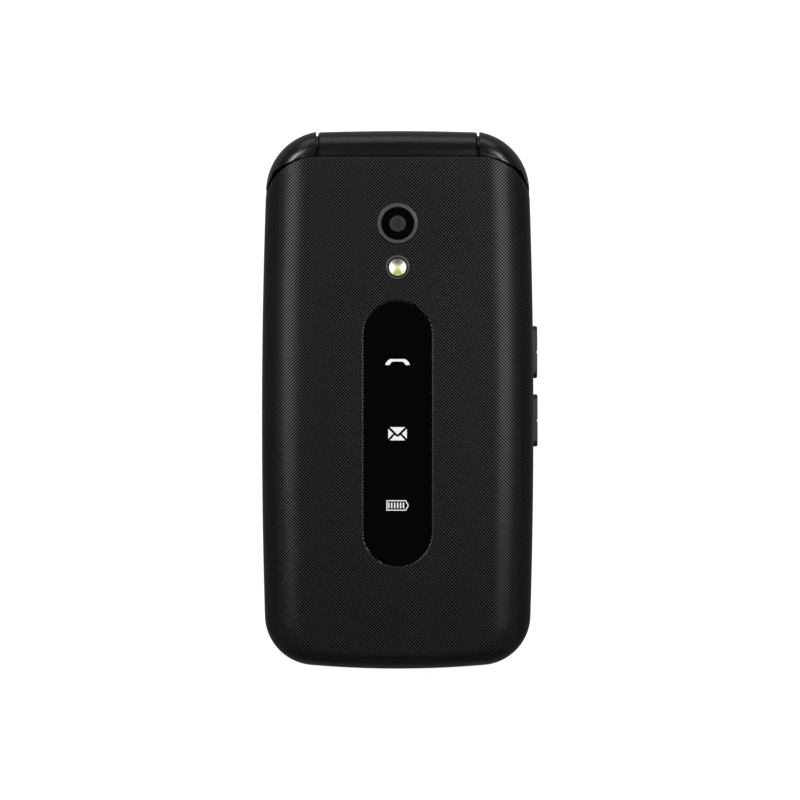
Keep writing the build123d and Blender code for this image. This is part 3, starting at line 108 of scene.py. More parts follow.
class LidSizes(bpy.types.PropertyGroup):
    """Sizes of the coated lid shell and its weave."""

    width: length("Width", "Across the waist, where the bowed sides are widest", 54.0)
    side_bow: length("Side bow radius", "Radius of the long sides, seen from above", 1286.0)
    waist: length("Waist shift", "From mid-length towards the foot to the widest place", 3.9)
    foot_bow: length("Foot bow radius", "Radius of the foot end, seen from above", 200.0)
    foot_corner: length("Foot corner", "Radius of the two corners at the foot end", 10.0)
    head_corner: length("Head corner", "Radius of the two corners beside the hinge", 10.0)
    runout: length("Corner runout", "How far those corners run past the bowed side", 0.15)
    side_roll: length("Side roll", "Width over which the face rolls down to the sides", 8.0)
    foot_roll: length("Foot roll", "Width over which the face rolls down to the foot end", 3.4)
    roll_drop: length("Roll drop", "Height of the roll", 4.6)
    wall: length("Wall", "Thickness of the shell", 1.2)
    edge: length("Edge break", "Small chamfer round the shell's edges", 0.18)
    swing: length("Swing radius", "Hollow end that clears the hinge barrel", 4.8)
    web_half: length("Web half width", "Half of the opening for the barrel's web", 15.85)
    camera_hole: length("Camera hole", "Radius of the hole round the camera ring", 4.08)
    flash_hole: length("Flash hole", "Radius of the hole round the flash rim", 2.435)
    window_gap: length("Window gap", "Air round and under the status window", 0.05)
    window_break: length("Window edge", "Width of the broken edge round the status window", 0.22)
    window_tilt: bpy.props.FloatProperty(name="Window edge tilt", description="Slope of that broken edge",
                                         default=math.radians(14), min=0.0, max=1.5, subtype="ANGLE")
    slot_width: length("Light slot width", "Openings for the light guide, across the phone", 6.0)
    slot_length: length("Light slot length", "The same openings, along the phone", 4.0)
    rim: length("Smooth rim", "Width of the bare rim outside the weave", 2.0)
    weave: length("Weave spacing", "Between two rows of the raised diagonal weave", 0.4685)
    relief: length("Weave relief", "Height of the weave's dots, drawn as shading", 0.005)
    swell_width: length("Swell across", "Slow wave over the width, which favours one diagonal", 88.0)
    swell_length: length("Swell along", "The same slow wave over the length", 154.0)
    patch: length("Patch size", "Cloudiness that breaks up those waves", 11.0)


class OpticsSizes(bpy.types.PropertyGroup):
    """Sizes of the camera, the flash and the status symbols."""

    glass_radius: length("Camera glass radius", "Black glass inside the camera ring", 3.25)
    lens_radius: length("Lens radius", "Visible front lens of the camera", 1.62)
    aperture: length("Aperture radius", "Dark disc seen through the lens", 0.26)
    flash_radius: length("Flash lens radius", "Clear lens over the flash lamp", 1.72)
    flash_cup: length("Flash cup radius", "Bright reflector under that lens", 1.7)
    symbol_pitch: length("Symbol pitch", "Between two status symbols", 14.2)


class PrintSizes(bpy.types.PropertyGroup):
    """Sizes of the printed characters on the keys, and the thickness of every print."""

    thickness: length("Print thickness", "Thickness of printed symbols and legends", 0.012)
    digit: length("Digit size", "Type size of the digits", 6.6)
    letters: length("Letter size", "Type size of the letters beside a digit", 2.35)
    word: length("Word size", "Type size of the word on the middle key", 3.4)
    digit_left: length("Digit shift", "How far a digit with letters stands left of the middle", 3.2)
    letters_right: length("Letter shift", "How far its letters stand right of the middle", 2.7)


class PhoneColours(bpy.types.PropertyGroup):
    """Main colours of the phone."""

    coating: colour("Lid coating", "Soft coating of the lid, in the valleys of its weave", "060607")
    # The crest colour is painted sheen: the light caught by the weave's raised dots, painted into their colour.
    crest: colour("Lid weave crest sheen", "Painted sheen on the weave's raised dots", "424244")
    gloss: colour("Gloss shell", "Polished shell beside the hinge", "0c0c0d")
    satin: colour("Satin shell", "Satin hinge barrel and lid frame", "111112")
    back: colour("Back", "Textured housing and battery cover", "222224")
    ring: colour("Camera ring", "Dyed aluminium ring", "666668")
    keycap: colour("Keypad keys", "Semi-gloss keycaps", "1a1a1c")
    side_key: colour("Side keys", "Paint on the face of the side keys", "504e51")
    symbols: colour("Status symbols", "Print on the status window", "e9e9e6")


# ---- Mesh helpers --------------------------------------------------------------------------
def weld(points, faces, reach=SAME_PLACE):
    """Merges points nearer than the reach: each is rounded to a cell, and cells are numbered once."""
    points = np.asarray(points, float)
    cells = np.round(points / reach).astype(np.int64)
    _, first, back = np.unique(cells, axis=0, return_index=True, return_inverse=True)
    back = back.reshape(-1)
    merged = []
    for face in faces:
        ring = back[list(face)].tolist()
        ring = [p for i, p in enumerate(ring) if p != ring[i - 1]]
        if len(set(ring)) == len(ring) and len(ring) > 2:
            merged.append(ring)
    return points[first], merged


def joined(patches):
    """Joins patches, each an array of points and an array of faces, and merges what coincides."""
    points, faces, count = [], [], 0
    for more, rings in patches:
        points.append(more)
        faces += (np.asarray(rings) + count).tolist()
        count += len(more)
    return weld(np.vstack(points), faces)


def make_piece(name, points, faces, body, material, smooth=35.0, attributes=None):
    """Puts points and faces into a new mesh object that rides on a body."""
    mesh = bpy.data.meshes.new(name)
    mesh.from_pydata(points.tolist(), [], faces)
    mesh.validate()
    mesh.polygons.foreach_set("use_smooth", np.ones(len(mesh.polygons), bool))
    mesh.set_sharp_from_angle(angle=math.radians(smooth))
    for key, values in (attributes or {}).items():
        layer = mesh.attributes.new(key, "FLOAT", "POINT")
        layer.data.foreach_set("value", np.asarray(values, np.float32))
    mesh.materials.append(material)
    piece = bpy.data.objects.new(name, mesh)
    bpy.context.scene.collection.objects.link(piece)
    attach(piece, body)
    return piece


def mend_normals(mesh):
    """Turns every face of a closed mesh outwards."""
    work = bmesh.new()
    work.from_mesh(mesh)
    bmesh.ops.recalc_face_normals(work, faces=work.faces)
    work.to_mesh(mesh)
    work.free()


def quads(rows, columns, closed=False):
    """Quads between neighbouring rows and columns of a grid of points numbered row by row."""
    across = columns if closed else columns - 1
    row, column = np.meshgrid(np.arange(rows - 1), np.arange(across), indexing="ij")
    beside = (column + 1) % columns
    start = row * columns
    corners = [start + column, start + beside, start + columns + beside, start + columns + column]
    return np.stack(corners, -1).reshape(-1, 4)


def lathe(profile, centre, turns=96):
    """Carries a closed profile of (radius, height) round the upright line through the centre."""
    profile = np.asarray(profile, float)
    angle = np.linspace(0, 2 * np.pi, turns, endpoint=False)
    x = centre[0] + profile[:, :1] * np.cos(angle)
    y = centre[1] + profile[:, :1] * np.sin(angle)
    z = np.repeat(profile[:, 1:], turns, 1)
    points = np.stack([x, y, z], -1).reshape(-1, 3)
    return weld(points, quads(len(profile), turns, closed=True))


def turned_piece(name, profile, centre, finish, turns=96):
    """A piece of the lid made by carrying its closed profile round an upright line."""
    points, faces = lathe(profile, centre, turns)
    piece = make_piece(name, points, faces, "lid", finishes[finish])
    mend_normals(piece.data)
    return piece


def walled(upper, lower, high, low):
    """The wall between two closed lines with as many points, one above the other."""
    count = len(upper)
    here = np.arange(count)
    beside = (here + 1) % count
    points = np.vstack([np.c_[upper, np.full(count, high)], np.c_[lower, np.full(count, low)]])
    return points, np.stack([here, beside, beside + count, here + count], -1)


def filled(loops, level, up):
    """A flat face at one height: the first closed line filled, with the others as holes."""
    flat = np.vstack(loops)
    triangles = np.array(tessellate_polygon([[(x, y, 0) for x, y in loop] for loop in loops]))
    a, b, c = (flat[triangles[:, i]] for i in range(3))
    ahead = (b[:, 0] - a[:, 0]) * (c[:, 1] - a[:, 1]) - (b[:, 1] - a[:, 1]) * (c[:, 0] - a[:, 0]) > 0
    triangles[ahead != up] = triangles[ahead != up][:, ::-1]
    return np.c_[flat, np.full(len(flat), level)], triangles


def prism(outline, holes, z_low, z_high):
    """A flat plate between two heights, as patches: the outline filled above and below, with walls."""
    loops = [counter_clockwise(outline)] + [counter_clockwise(hole)[::-1] for hole in holes]
    caps = [filled(loops, z_high, True), filled(loops, z_low, False)]
    return caps + [walled(loop, loop, z_high, z_low) for loop in loops]


def counter_clockwise(outline):
    """The outline, turned to run counter-clockwise: its signed area is positive."""
    outline = np.asarray(outline, float)
    x, y = outline[:, 0], outline[:, 1]
    area = np.sum(x * np.roll(y, -1) - np.roll(x, -1) * y)
    return outline if area > 0 else outline[::-1]


def drop_repeats(loop):
    """The closed line without points that repeat the one before."""
    gap = np.linalg.norm(loop - np.roll(loop, 1, axis=0), axis=1)
    return loop[gap > SAME_PLACE]


def slot_outline(centre, half_length, radius, steps=24):
    """A slot along Y with round ends: two half circles joined by straight sides."""
    turn = np.linspace(0, np.pi, steps)
    cap = np.c_[np.cos(turn), np.sin(turn)] * radius
    reach = half_length - radius
    return np.vstack([cap + (0, reach), -cap - (0, reach)]) + centre


def round_outline(centre, radius, steps=64):
    """A circle as a closed line."""
    turn = np.linspace(0, 2 * np.pi, steps, endpoint=False)
    return np.c_[np.cos(turn), np.sin(turn)] * radius + centre


def box_outline(centre, width, length_along):
    """A rectangle round a middle, as a closed line."""
    return np.array([(-1, -1), (1, -1), (1, 1), (-1, 1)]) * (width / 2, length_along / 2) + centre


def mirrored(half):
    """A closed outline from its right half, given from the top downwards."""
    half = np.asarray(half, float)
    return np.vstack([half, half[::-1] * (-1, 1)])


# ---- Materials -----------------------------------------------------------------------------
MATH, VECTOR_MATH, MIX = "ShaderNodeMath", "ShaderNodeVectorMath", "ShaderNodeMix"
MAP_RANGE, RAMP = "ShaderNodeMapRange", "ShaderNodeValToRGB"
SPLIT, MAPPING = "ShaderNodeSeparateXYZ", "ShaderNodeMapping"
NOISE, BUMP = "ShaderNodeTexNoise", "ShaderNodeBump"


def add_node(tree, kind, settings=None, links=None):
    """Adds one shader node, sets its values and sockets, and links other nodes to its sockets.

    A link is an output, or a node whose first output is meant.
    """
    node = tree.nodes.new(kind)
    for key, value in (settings or {}).items():
        if isinstance(key, int) or key in node.inputs:
            node.inputs[key].default_value = value
        else:
            setattr(node, key, value)
    for key, source in (links or {}).items():
        output = source.outputs[0] if isinstance(source, bpy.types.Node) else source
        tree.links.new(output, node.inputs[key])
    return node


def start_material(name):
    """A new material with its tree emptied, and the object coordinates that its patterns read."""
    made = bpy.data.materials.new(name)
    made.use_nodes = True
    made.node_tree.nodes.clear()
    place = add_node(made.node_tree, "ShaderNodeTexCoord").outputs["Object"]
    return made, made.node_tree, place


def finish_material(tree, settings, links=None):
    """Adds the surface shader with its constants and joins it to the output."""
    surface = add_node(tree, "ShaderNodeBsdfPrincipled", settings, links)
    add_node(tree, "ShaderNodeOutputMaterial", links={"Surface": surface})


def shade_of(value):
    """A linear colour, from sRGB hex or from a colour property."""
    return linear(value) if isinstance(value, str) else tuple(value)


def grained(name, dark, light, grain, depth, settings, detail=3.0):
    """A moulded or rolled finish: noise of one grain size mottles the colour and raises the surface.

    Colour and height follow the same noise, in object coordinates, so the grain is as large on
    every piece. Grain and depth are in millimetres.
    """
    made, tree, place = start_material(name)
    noise = add_node(tree, NOISE, {"Scale": 1 / (grain * MM), "Detail": detail}, {"Vector": place})
    tint = add_node(tree, MIX, {"data_type": "RGBA", 6: shade_of(dark), 7: shade_of(light)}, {0: noise})
    bump = add_node(tree, BUMP, {"Distance": depth * MM, "Strength": 1.0}, {"Height": noise})
    finish_material(tree, settings, {"Base Color": tint.outputs[2], "Normal": bump})
    return made


def coated_polycarbonate():
    """Polycarbonate lid with a soft-feel lacquer over a moulded diagonal weave.

    It gives the eye a deep matt black that breaks into fine diagonal rows of grey dots, brighter
    where the lid rolls over, with a bare, even rim. The grey of the dots is painted sheen: the light
    that the raised weave catches, painted into the colour of its crests. Two sines across the
    diagonals are added, so the dots stand where both crest. Two slow waves, one over the width and
    one over the length, are multiplied and a little noise is added: where the result is high the
    falling diagonal stands out, where it is low the rising one does. The weave attribute fades both
    at the rim.
    """
    sizes = bpy.context.scene.phone_lid
    colours = bpy.context.scene.phone_colours
    made, tree, place = start_material("Soft-lacquered polycarbonate, woven texture")
    rate = 2 * math.pi / (sizes.weave * math.sqrt(2))
    along = add_node(tree, VECTOR_MATH, {"operation": "DOT_PRODUCT", 1: (rate, rate, 0)}, {0: place})
    across = add_node(tree, VECTOR_MATH, {"operation": "DOT_PRODUCT", 1: (rate, -rate, 0)}, {0: place})
    rows = add_node(tree, MATH, {"operation": "SINE"}, {0: along.outputs["Value"]})
    columns = add_node(tree, MATH, {"operation": "SINE"}, {0: across.outputs["Value"]})
    # Slow waves: input 1 is the rate, input 2 the phase at the origin.
    sides = add_node(tree, SPLIT, links={0: place})
    width_rate, length_rate = 2 * math.pi / sizes.swell_width, 2 * math.pi / sizes.swell_length
    over_width = add_node(tree, MATH, {"operation": "MULTIPLY_ADD", 1: width_rate, 2: 1.05},
                          {0: sides.outputs["X"]})
    over_length = add_node(tree, MATH, {"operation": "MULTIPLY_ADD", 1: length_rate, 2: 0.15},
                           {0: sides.outputs["Y"]})
    wave_x = add_node(tree, MATH, {"operation": "SINE"}, {0: over_width})
    wave_y = add_node(tree, MATH, {"operation": "COSINE"}, {0: over_length})
    swell = add_node(tree, MATH, {"operation": "MULTIPLY"}, {0: wave_x, 1: wave_y})
    patches = add_node(tree, NOISE, {"Scale": 1 / sizes.patch, "Detail": 2.0}, {"Vector": place})
    drift = add_node(tree, MATH, {"operation": "ADD"}, {0: swell, 1: patches})
    # The two diagonals share a fixed sum: what one gains the other loses.
    least, most = 0.42, 1.08
    favour = add_node(tree, MAP_RANGE, {"From Min": 0.15, "From Max": 0.85, "To Min": least, "To Max": most},
                      {"Value": drift})
    other = add_node(tree, MATH, {"operation": "SUBTRACT", 0: least + most}, {1: favour})
    first = add_node(tree, MATH, {"operation": "MULTIPLY"}, {0: rows, 1: favour})
    both = add_node(tree, MATH, {"operation": "MULTIPLY_ADD"}, {0: columns, 1: other, 2: first})
    fade = add_node(tree, "ShaderNodeAttribute", {"attribute_name": "weave"}).outputs["Fac"]
    weave = add_node(tree, MATH, {"operation": "MULTIPLY"}, {0: both, 1: fade})
    # Dots: the crests are paler and shinier than the valleys between them; their paler tone is painted sheen, the
    # light that the raised dots catch.
    share = add_node(tree, MAP_RANGE, {"From Min": -0.35, "From Max": 1.5}, {"Value": weave})
    tint = add_node(tree, MIX, {"data_type": "RGBA", 6: tuple(colours.coating), 7: tuple(colours.crest)},
                    {0: share})
    shine = add_node(tree, MAP_RANGE, {"To Min": 0.03, "To Max": 0.95}, {"Value": share})
    bump = add_node(tree, BUMP, {"Distance": sizes.relief, "Strength": 1.0}, {"Height": weave})
    finish_material(tree, {"Roughness": 0.25}, {"Base Color": tint.outputs[2], "Normal": bump,
                                                "Specular IOR Level": shine})
    return made


def lens_element():
    """Coated glass element over a dark barrel, with its reflections and shade painted in.

    It gives the eye a small slate-grey disc with a dark middle and a fine darker ring. The slate grey
    is painted reflection; the dark middle and the darker ring are painted shade seen into the lens.
    Both follow the distance from the middle, in object coordinates turned to millimetres.
    """
    radius = bpy.context.scene.phone_optics.lens_radius / MM
    made, tree, place = start_material("Camera lens glass, painted reflections and shade")
    centred = add_node(tree, MAPPING, {"Location": (-CAMERA_AT[0] / MM, -CAMERA_AT[1] / MM, 0),
                                       "Scale": (1 / MM, 1 / MM, 0)}, {"Vector": place})
    reach = add_node(tree, VECTOR_MATH, {"operation": "LENGTH"}, {0: centred})
    share = add_node(tree, MAP_RANGE, {"From Max": radius}, {"Value": reach.outputs["Value"]})
    # Painted reflections and shade: dark at the middle, slate grey outwards, with a darker ring halfway.
    rings = add_node(tree, RAMP, links={"Fac": share})
    stops = rings.color_ramp.elements
    stops[0].color, stops[1].color = linear("050506"), linear("2c2c30")
    for at, text in ((0.14, "050506"), (0.24, "2a2a2e"), (0.42, "303036"), (0.5, "131316"), (0.6, "34343a"),
                     (0.86, "35353b")):
        stops.new(at).color = linear(text)
    grain = add_node(tree, NOISE, {"Scale": 1 / (0.3 * MM)}, {"Vector": place})
    bump = add_node(tree, BUMP, {"Distance": 0.004 * MM, "Strength": 1.0}, {"Height": grain})
    finish_material(tree, {"Roughness": 0.4, "Specular IOR Level": 0.25},
                    {"Base Color": rings, "Normal": bump})
    return made


def flash_reflector():
    """Aluminised cup with a yellow phosphor lamp under a clear acrylic lens, its light and shade painted in.

    It gives the eye bright white wings at left and right, which are painted reflections, a painted grey
    shadow above and the lamp's yellow-green below and in the middle. The wings follow the angle round
    the middle, and the yellow grows towards the middle. Outside the cup it is black. The cup also
    glows faintly: painted glow, with no lamp behind it.
    """
    cup_radius = bpy.context.scene.phone_optics.flash_cup / MM
    made, tree, place = start_material("Aluminised flash cup under acrylic")
    centred = add_node(tree, MAPPING, {"Location": (-FLASH_AT[0] / MM, -FLASH_AT[1] / MM, 0),
                                       "Scale": (1 / MM, 1 / MM, 1 / MM)}, {"Vector": place})
    split = add_node(tree, SPLIT, links={"Vector": centred})
    x, y = split.outputs["X"], split.outputs["Y"]
    wide = add_node(tree, MATH, {"operation": "ABSOLUTE"}, {0: x})
    angle = add_node(tree, MATH, {"operation": "ARCTAN2"}, {0: y, 1: wide})
    # From straight down (0) by way of the sides (0.5) to straight up (1).
    share = add_node(tree, MAP_RANGE, {"From Min": -math.pi / 2, "From Max": math.pi / 2}, {"Value": angle})
    # Painted reflections and shade: white at the sides, grey above, yellow-green below.
    wings = add_node(tree, RAMP, links={"Fac": share})
    stops = wings.color_ramp.elements
    stops[0].color, stops[1].color = linear("b4b878"), linear("55554f")
    for at, text in ((0.13, "9da05a"), (0.25, "dedfb6"), (0.36, "f4f4ee"), (0.62, "f0f0ee"),
                     (0.78, "8a8a84")):
        stops.new(at).color = linear(text)
    flat = add_node(tree, "ShaderNodeCombineXYZ", links={"X": x, "Y": y})
    reach = add_node(tree, VECTOR_MATH, {"operation": "LENGTH"}, {0: flat}).outputs["Value"]
    near = add_node(tree, MAP_RANGE, {"From Min": 0.25, "From Max": 0.95, "To Min": 0.8, "To Max": 0.0},
                    {"Value": reach})
    lit = add_node(tree, MIX, {"data_type": "RGBA", 7: linear("c9cd7c")}, {0: near, 6: wings})
    cup = add_node(tree, MATH, {"operation": "LESS_THAN", 1: cup_radius}, {0: reach})
    shown = add_node(tree, MIX, {"data_type": "RGBA", 6: linear("070707")}, {0: cup, 7: lit.outputs[2]})
    facets = add_node(tree, "ShaderNodeTexVoronoi", {"Scale": 1 / (0.55 * MM)}, {"Vector": place})
    bump = add_node(tree, BUMP, {"Distance": 0.03 * MM, "Strength": 0.6}, {"Height": facets})
    # The emission is painted glow: the cup shines its own colours, with no lamp behind it.
    finish_material(tree, {"Roughness": 0.22, "Coat Weight": 0.6, "Coat Roughness": 0.03,
                           "Emission Strength": 0.5},
                    {"Base Color": shown.outputs[2], "Emission Color": shown.outputs[2], "Normal": bump})
    return made


def display_stack():
    """Toughened glass over a dark liquid-crystal panel with a printed border.

    It gives the eye a black mirror in which the switched-off panel shows as a slightly bluer
    field. A rectangle in object coordinates tells panel from border.
    """
    low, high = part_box("display_module")
    made, tree, place = start_material("Toughened glass over a dark panel")
    border = (2.15 * MM, 4.2 * MM)      # from the module's edge to the picture, across and along
    middle = ((low.x + high.x) / 2, (low.y + high.y) / 2, 0)
    half = ((high.x - low.x) / 2 - border[0], (high.y - low.y) / 2 - border[1], 1)
    centred = add_node(tree, MAPPING, {"Location": tuple(-m / h for m, h in zip(middle, half)),
                                       "Scale": tuple(1 / h for h in half)}, {"Vector": place})
    size = add_node(tree, VECTOR_MATH, {"operation": "ABSOLUTE"}, {0: centred})
    split = add_node(tree, SPLIT, links={"Vector": size})
    most = add_node(tree, MATH, {"operation": "MAXIMUM"}, {0: split.outputs["X"], 1: split.outputs["Y"]})
    inside = add_node(tree, MATH, {"operation": "LESS_THAN", 1: 1.0}, {0: most})
    tint = add_node(tree, MIX, {"data_type": "RGBA", 6: linear("060607"), 7: linear("12151a")}, {0: inside})
    finish_material(tree, {"Roughness": 0.04, "IOR": 1.52, "Coat Weight": 0.3, "Coat Roughness": 0.02},
                    {"Base Color": tint.outputs[2]})
    return made


def solder_mask():
    """Glass-epoxy board under green solder mask.

    It gives the eye a glossy green field with fine paler tracks that run square to each other.
    """
    made, tree, place = start_material("Glass-epoxy board, green solder mask")
    tracks = add_node(tree, "ShaderNodeTexBrick",
                      {"Scale": 1 / (6 * MM), "Color1": linear("0f4a2b"), "Color2": linear("0c3f25"),
                       "Mortar": linear("2b7a4c"), "Mortar Size": 0.03}, {"Vector": place})
    bump = add_node(tree, BUMP, {"Distance": 0.02 * MM}, {"Height": tracks.outputs["Fac"]})
    finish_material(tree, {"Roughness": 0.3}, {"Base Color": tracks, "Normal": bump})
    return made


def painted_key():
    """ABS side keys, satin grey on the face and black towards both ends.

    It gives the eye a grey strip between two black, rounded tips. The grey ends at a distance
    along Y from the middle of the nearer key; a fine noise breaks up its tone.
    """
    grey_to_black = (4.2 * MM, 4.45 * MM)   # from full grey to black
    made, tree, place = start_material("Painted ABS, satin grey")
    upper, lower = middle_of("side_key_upper")[1], middle_of("side_key_lower")[1]
    along = add_node(tree, SPLIT, links={0: place}).outputs["Y"]
    # Folded at the middle of the pair and then at the middle of a key, Y becomes that distance.
    for fold in ((upper + lower) / 2, (upper - lower) / 2):
        moved = add_node(tree, MATH, {"operation": "SUBTRACT", 1: fold}, {0: along})
        along = add_node(tree, MATH, {"operation": "ABSOLUTE"}, {0: moved})
    # Past that distance the colour turns black, towards both ends of each key.
    bare = add_node(tree, MAP_RANGE, {"From Min": grey_to_black[0], "From Max": grey_to_black[1]}, {"Value": along})
    grain = add_node(tree, NOISE, {"Scale": 1 / (0.12 * MM)}, {"Vector": place})
    paint = add_node(tree, MIX, {"data_type": "RGBA", 6: linear("464447"),
                                 7: tuple(bpy.context.scene.phone_colours.side_key)}, {0: grain})
    shown = add_node(tree, MIX, {"data_type": "RGBA", 7: linear("050505")}, {0: bare, 6: paint.outputs[2]})
    bump = add_node(tree, BUMP, {"Distance": 0.002 * MM, "Strength": 1.0}, {"Height": grain})
    finish_material(tree, {"Roughness": 0.38}, {"Base Color": shown.outputs[2], "Normal": bump})
    return made


def build_materials():
    """All finishes, each from its real material: two colours, grain size, grain depth, surface."""
    colours = bpy.context.scene.phone_colours
    return {
        "coated": coated_polycarbonate(),
        "flash": flash_reflector(),
        "lens": lens_element(),
        "display": display_stack(),
        "board": solder_mask(),
        "side_key": painted_key(),
        # Injection-moulded in a polished tool: deep black, with clear but slightly softened lights.
        "gloss": grained("High-gloss ABS", "09090a", colours.gloss, 3.0, 0.0015,
                         {"Roughness": 0.22, "Specular IOR Level": 0.5}, 1.0),
        # Lightly spark-eroded tool: a little paler, with broader lights that have no hard edge.
        "satin": grained("Satin ABS, spark-eroded", "0c0c0d", colours.satin, 0.14, 0.002,
                         {"Roughness": 0.25, "Specular IOR Level": 0.5}),
        # Coarser spark erosion on the back for grip; drawn 0.25 mm so that it shows.
        "grain": grained("Textured polycarbonate", "161617", colours.back, 0.25, 0.012,
                         {"Roughness": 0.52, "Specular IOR Level": 0.45}),
        # Turned, bead-blasted and dyed: an even grey ring with a faint sparkle.
        "anodised": grained("Anodised aluminium, bead-blasted", "59595b", colours.ring, 0.08, 0.002,
                            {"Metallic": 1.0, "Roughness": 0.42}),
        # The same with a warmer, thinner dye: the fine rim round the flash.
        "anodised_dark": grained("Anodised aluminium, dark dye", "5e5e57", "6b6b63", 0.08, 0.002,
                                 {"Metallic": 1.0, "Roughness": 0.4}),
        # Cast, tinted through and polished: nearly black, with mirror-like reflections.
        "acrylic": grained("Tinted acrylic, polished", "030304", "050506", 8.0, 0.0004,
                           {"Roughness": 0.05, "Specular IOR Level": 0.4}, 1.0),
        # Painted shade: a dark disc that stands for the dark seen through the aperture, a hole-like dark spot
        # without a highlight.
        "pupil": grained("Painted shade in the camera aperture", "050507", "08080a", 0.2, 0.001, {"Roughness": 0.5}),
        # Moulded keycaps: semi-gloss, very slightly mottled by the mould.
        "keycap": grained("Polycarbonate keycap, semi-gloss", "151517", colours.keycap, 0.5, 0.002,
                          {"Roughness": 0.26, "Specular IOR Level": 0.5}),
        # Milky print given a faint painted glow by its emission, as if lit from behind by the light guide: even,
        # without a bright middle.
        "ink_painted_glow": grained("Translucent white ink, painted glow", "e4e4e1", colours.symbols, 0.2, 0.001,
                           {"Roughness": 0.5, "Emission Color": linear("f4f4f0"), "Emission Strength": 0.34}),
        # Pad-printed inks: flat, opaque and matt, each with crisp edges.
        "ink": grained("White pad-print ink", "e4e4e1", "efefec", 0.2, 0.001, {"Roughness": 0.5}),
        "green_ink": grained("Green pad-print ink", "38b85a", "43c667", 0.2, 0.001, {"Roughness": 0.5}),
        "red_ink": grained("Red pad-print ink", "d83a34", "e5473f", 0.2, 0.001, {"Roughness": 0.5}),
        # Moulded silicone: dull dark grey that hardly reflects.
        "rubber": grained("Silicone rubber", "141414", "1c1c1c", 0.2, 0.006, {"Roughness": 0.75}),
        # Glass fibres near the surface: dull black with a faint grey speckle.
        "moulded": grained("Glass-filled nylon", "17171a", "222226", 0.3, 0.01, {"Roughness": 0.6}),
        # Tumbled after turning: bright grey metal with softened lights.
        "steel": grained("Stainless steel, tumbled", "8e8f92", "a6a7aa", 0.15, 0.003,
                         {"Metallic": 1.0, "Roughness": 0.32}),
        # Uncoloured and slippery: warm off-white with a waxy shine.
        "acetal": grained("Acetal, natural", "c9c7c0", "d6d4ce", 0.8, 0.002, {"Roughness": 0.4}),
        # Thin amber film over copper: a smooth orange-brown ribbon.
        "film": grained("Polyimide film", "a86a1c", "b97724", 0.4, 0.001, {"Roughness": 0.25}),
        # Shrunk-on wrap: plain matt grey with slight waves.
        "wrap": grained("Battery wrap, matt film", "8f9296", "9a9da1", 1.0, 0.004, {"Roughness": 0.45}),
        # Powder set in silicone: a flat, strong yellow.
        "phosphor": grained("Lamp phosphor", "d8c23a", "e8d44c", 0.1, 0.003, {"Roughness": 0.6}),
    }


SLOT_FINISH = {
    "lid_skin": "coated", "gloss_black": "gloss", "satin_black": "satin", "back_plastic": "grain",
    "satin_aluminium": "anodised", "tinted_window": "acrylic", "screen_glass": "display",
    "flash_plastic": "flash", "key_plastic": "keycap", "call_plastic": "keycap", "end_plastic": "keycap",
    "side_key_plastic": "side_key", "rubber": "rubber", "board": "board", "cell_wrap": "wrap",
    "module_black": "moulded", "steel": "steel", "acetal": "acetal", "polyimide": "film",
    "panel": "acrylic", "led": "phosphor",
}
OWN_FINISH = {"flash_rim": "anodised_dark"}
finishes = {}


class PHONE_OT_finishes(bpy.types.Operator):
    """Make every finish from the colours and sizes"""

    bl_idname = "phone.finishes"
    bl_label = "Finishes"

    def execute(self, context):
        finishes.update(build_materials())
        return {"FINISHED"}


# ---- CAD solids with finer shading ---------------------------------------------------------
SMOOTHED = (
    "front_housing", "rear_housing", "battery_cover", "lid_frame", "camera_ring", "flash_rim",
    "status_window", "lid_bumpers", "screw_plugs", "base_screws", "headset_jack", "charging_socket",
    "side_key_upper", "side_key_lower", "hinge_cartridge", "hinge_pin", "hinge_shaft",
) + tuple(node for node in NODE_BODY if NODE_SLOT[node] in ("key_plastic", "call_plastic", "end_plastic"))


def merged_copy(node):
    """A CAD node's loose triangles, joined where their corners meet."""
    mesh = frame["nodes"][node].data
    points = np.empty(len(mesh.vertices) * 3)
    mesh.vertices.foreach_get("co", points)
    corners = np.empty(len(mesh.loops), np.int32)
    mesh.loops.foreach_get("vertex_index", corners)
    return weld(points.reshape(-1, 3), corners.reshape(-1, 3), 10 * SAME_PLACE)


class PHONE_OT_solids(bpy.types.Operator):
    """Give every CAD solid its finish, and smooth the shading of those that show"""

    bl_idname = "phone.solids"
    bl_label = "Solids"

    def execute(self, context):
        for node, solid in frame["nodes"].items():
            finish = finishes[OWN_FINISH.get(node, SLOT_FINISH[NODE_SLOT[node]])]
            solid.data.materials.clear()
            solid.data.materials.append(finish)
            if node not in SMOOTHED:
                continue
            points, faces = merged_copy(node)
            copy = make_piece(node + "_smooth", points, faces, NODE_BODY[node], finish, 32.0)
            weighted = copy.modifiers.new("Even shading", "WEIGHTED_NORMAL")
            weighted.keep_sharp = True
            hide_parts(node)
        return {"FINISHED"}


# ---- Lid shell -----------------------------------------------------------------------------
def side_line(sizes, y, inset):
    """Half width at y: a large circle through the widest place, moved in by the inset."""
    return sizes.width / 2 - inset - sizes.side_bow + np.sqrt(sizes.side_bow ** 2 - (y + sizes.waist) ** 2)


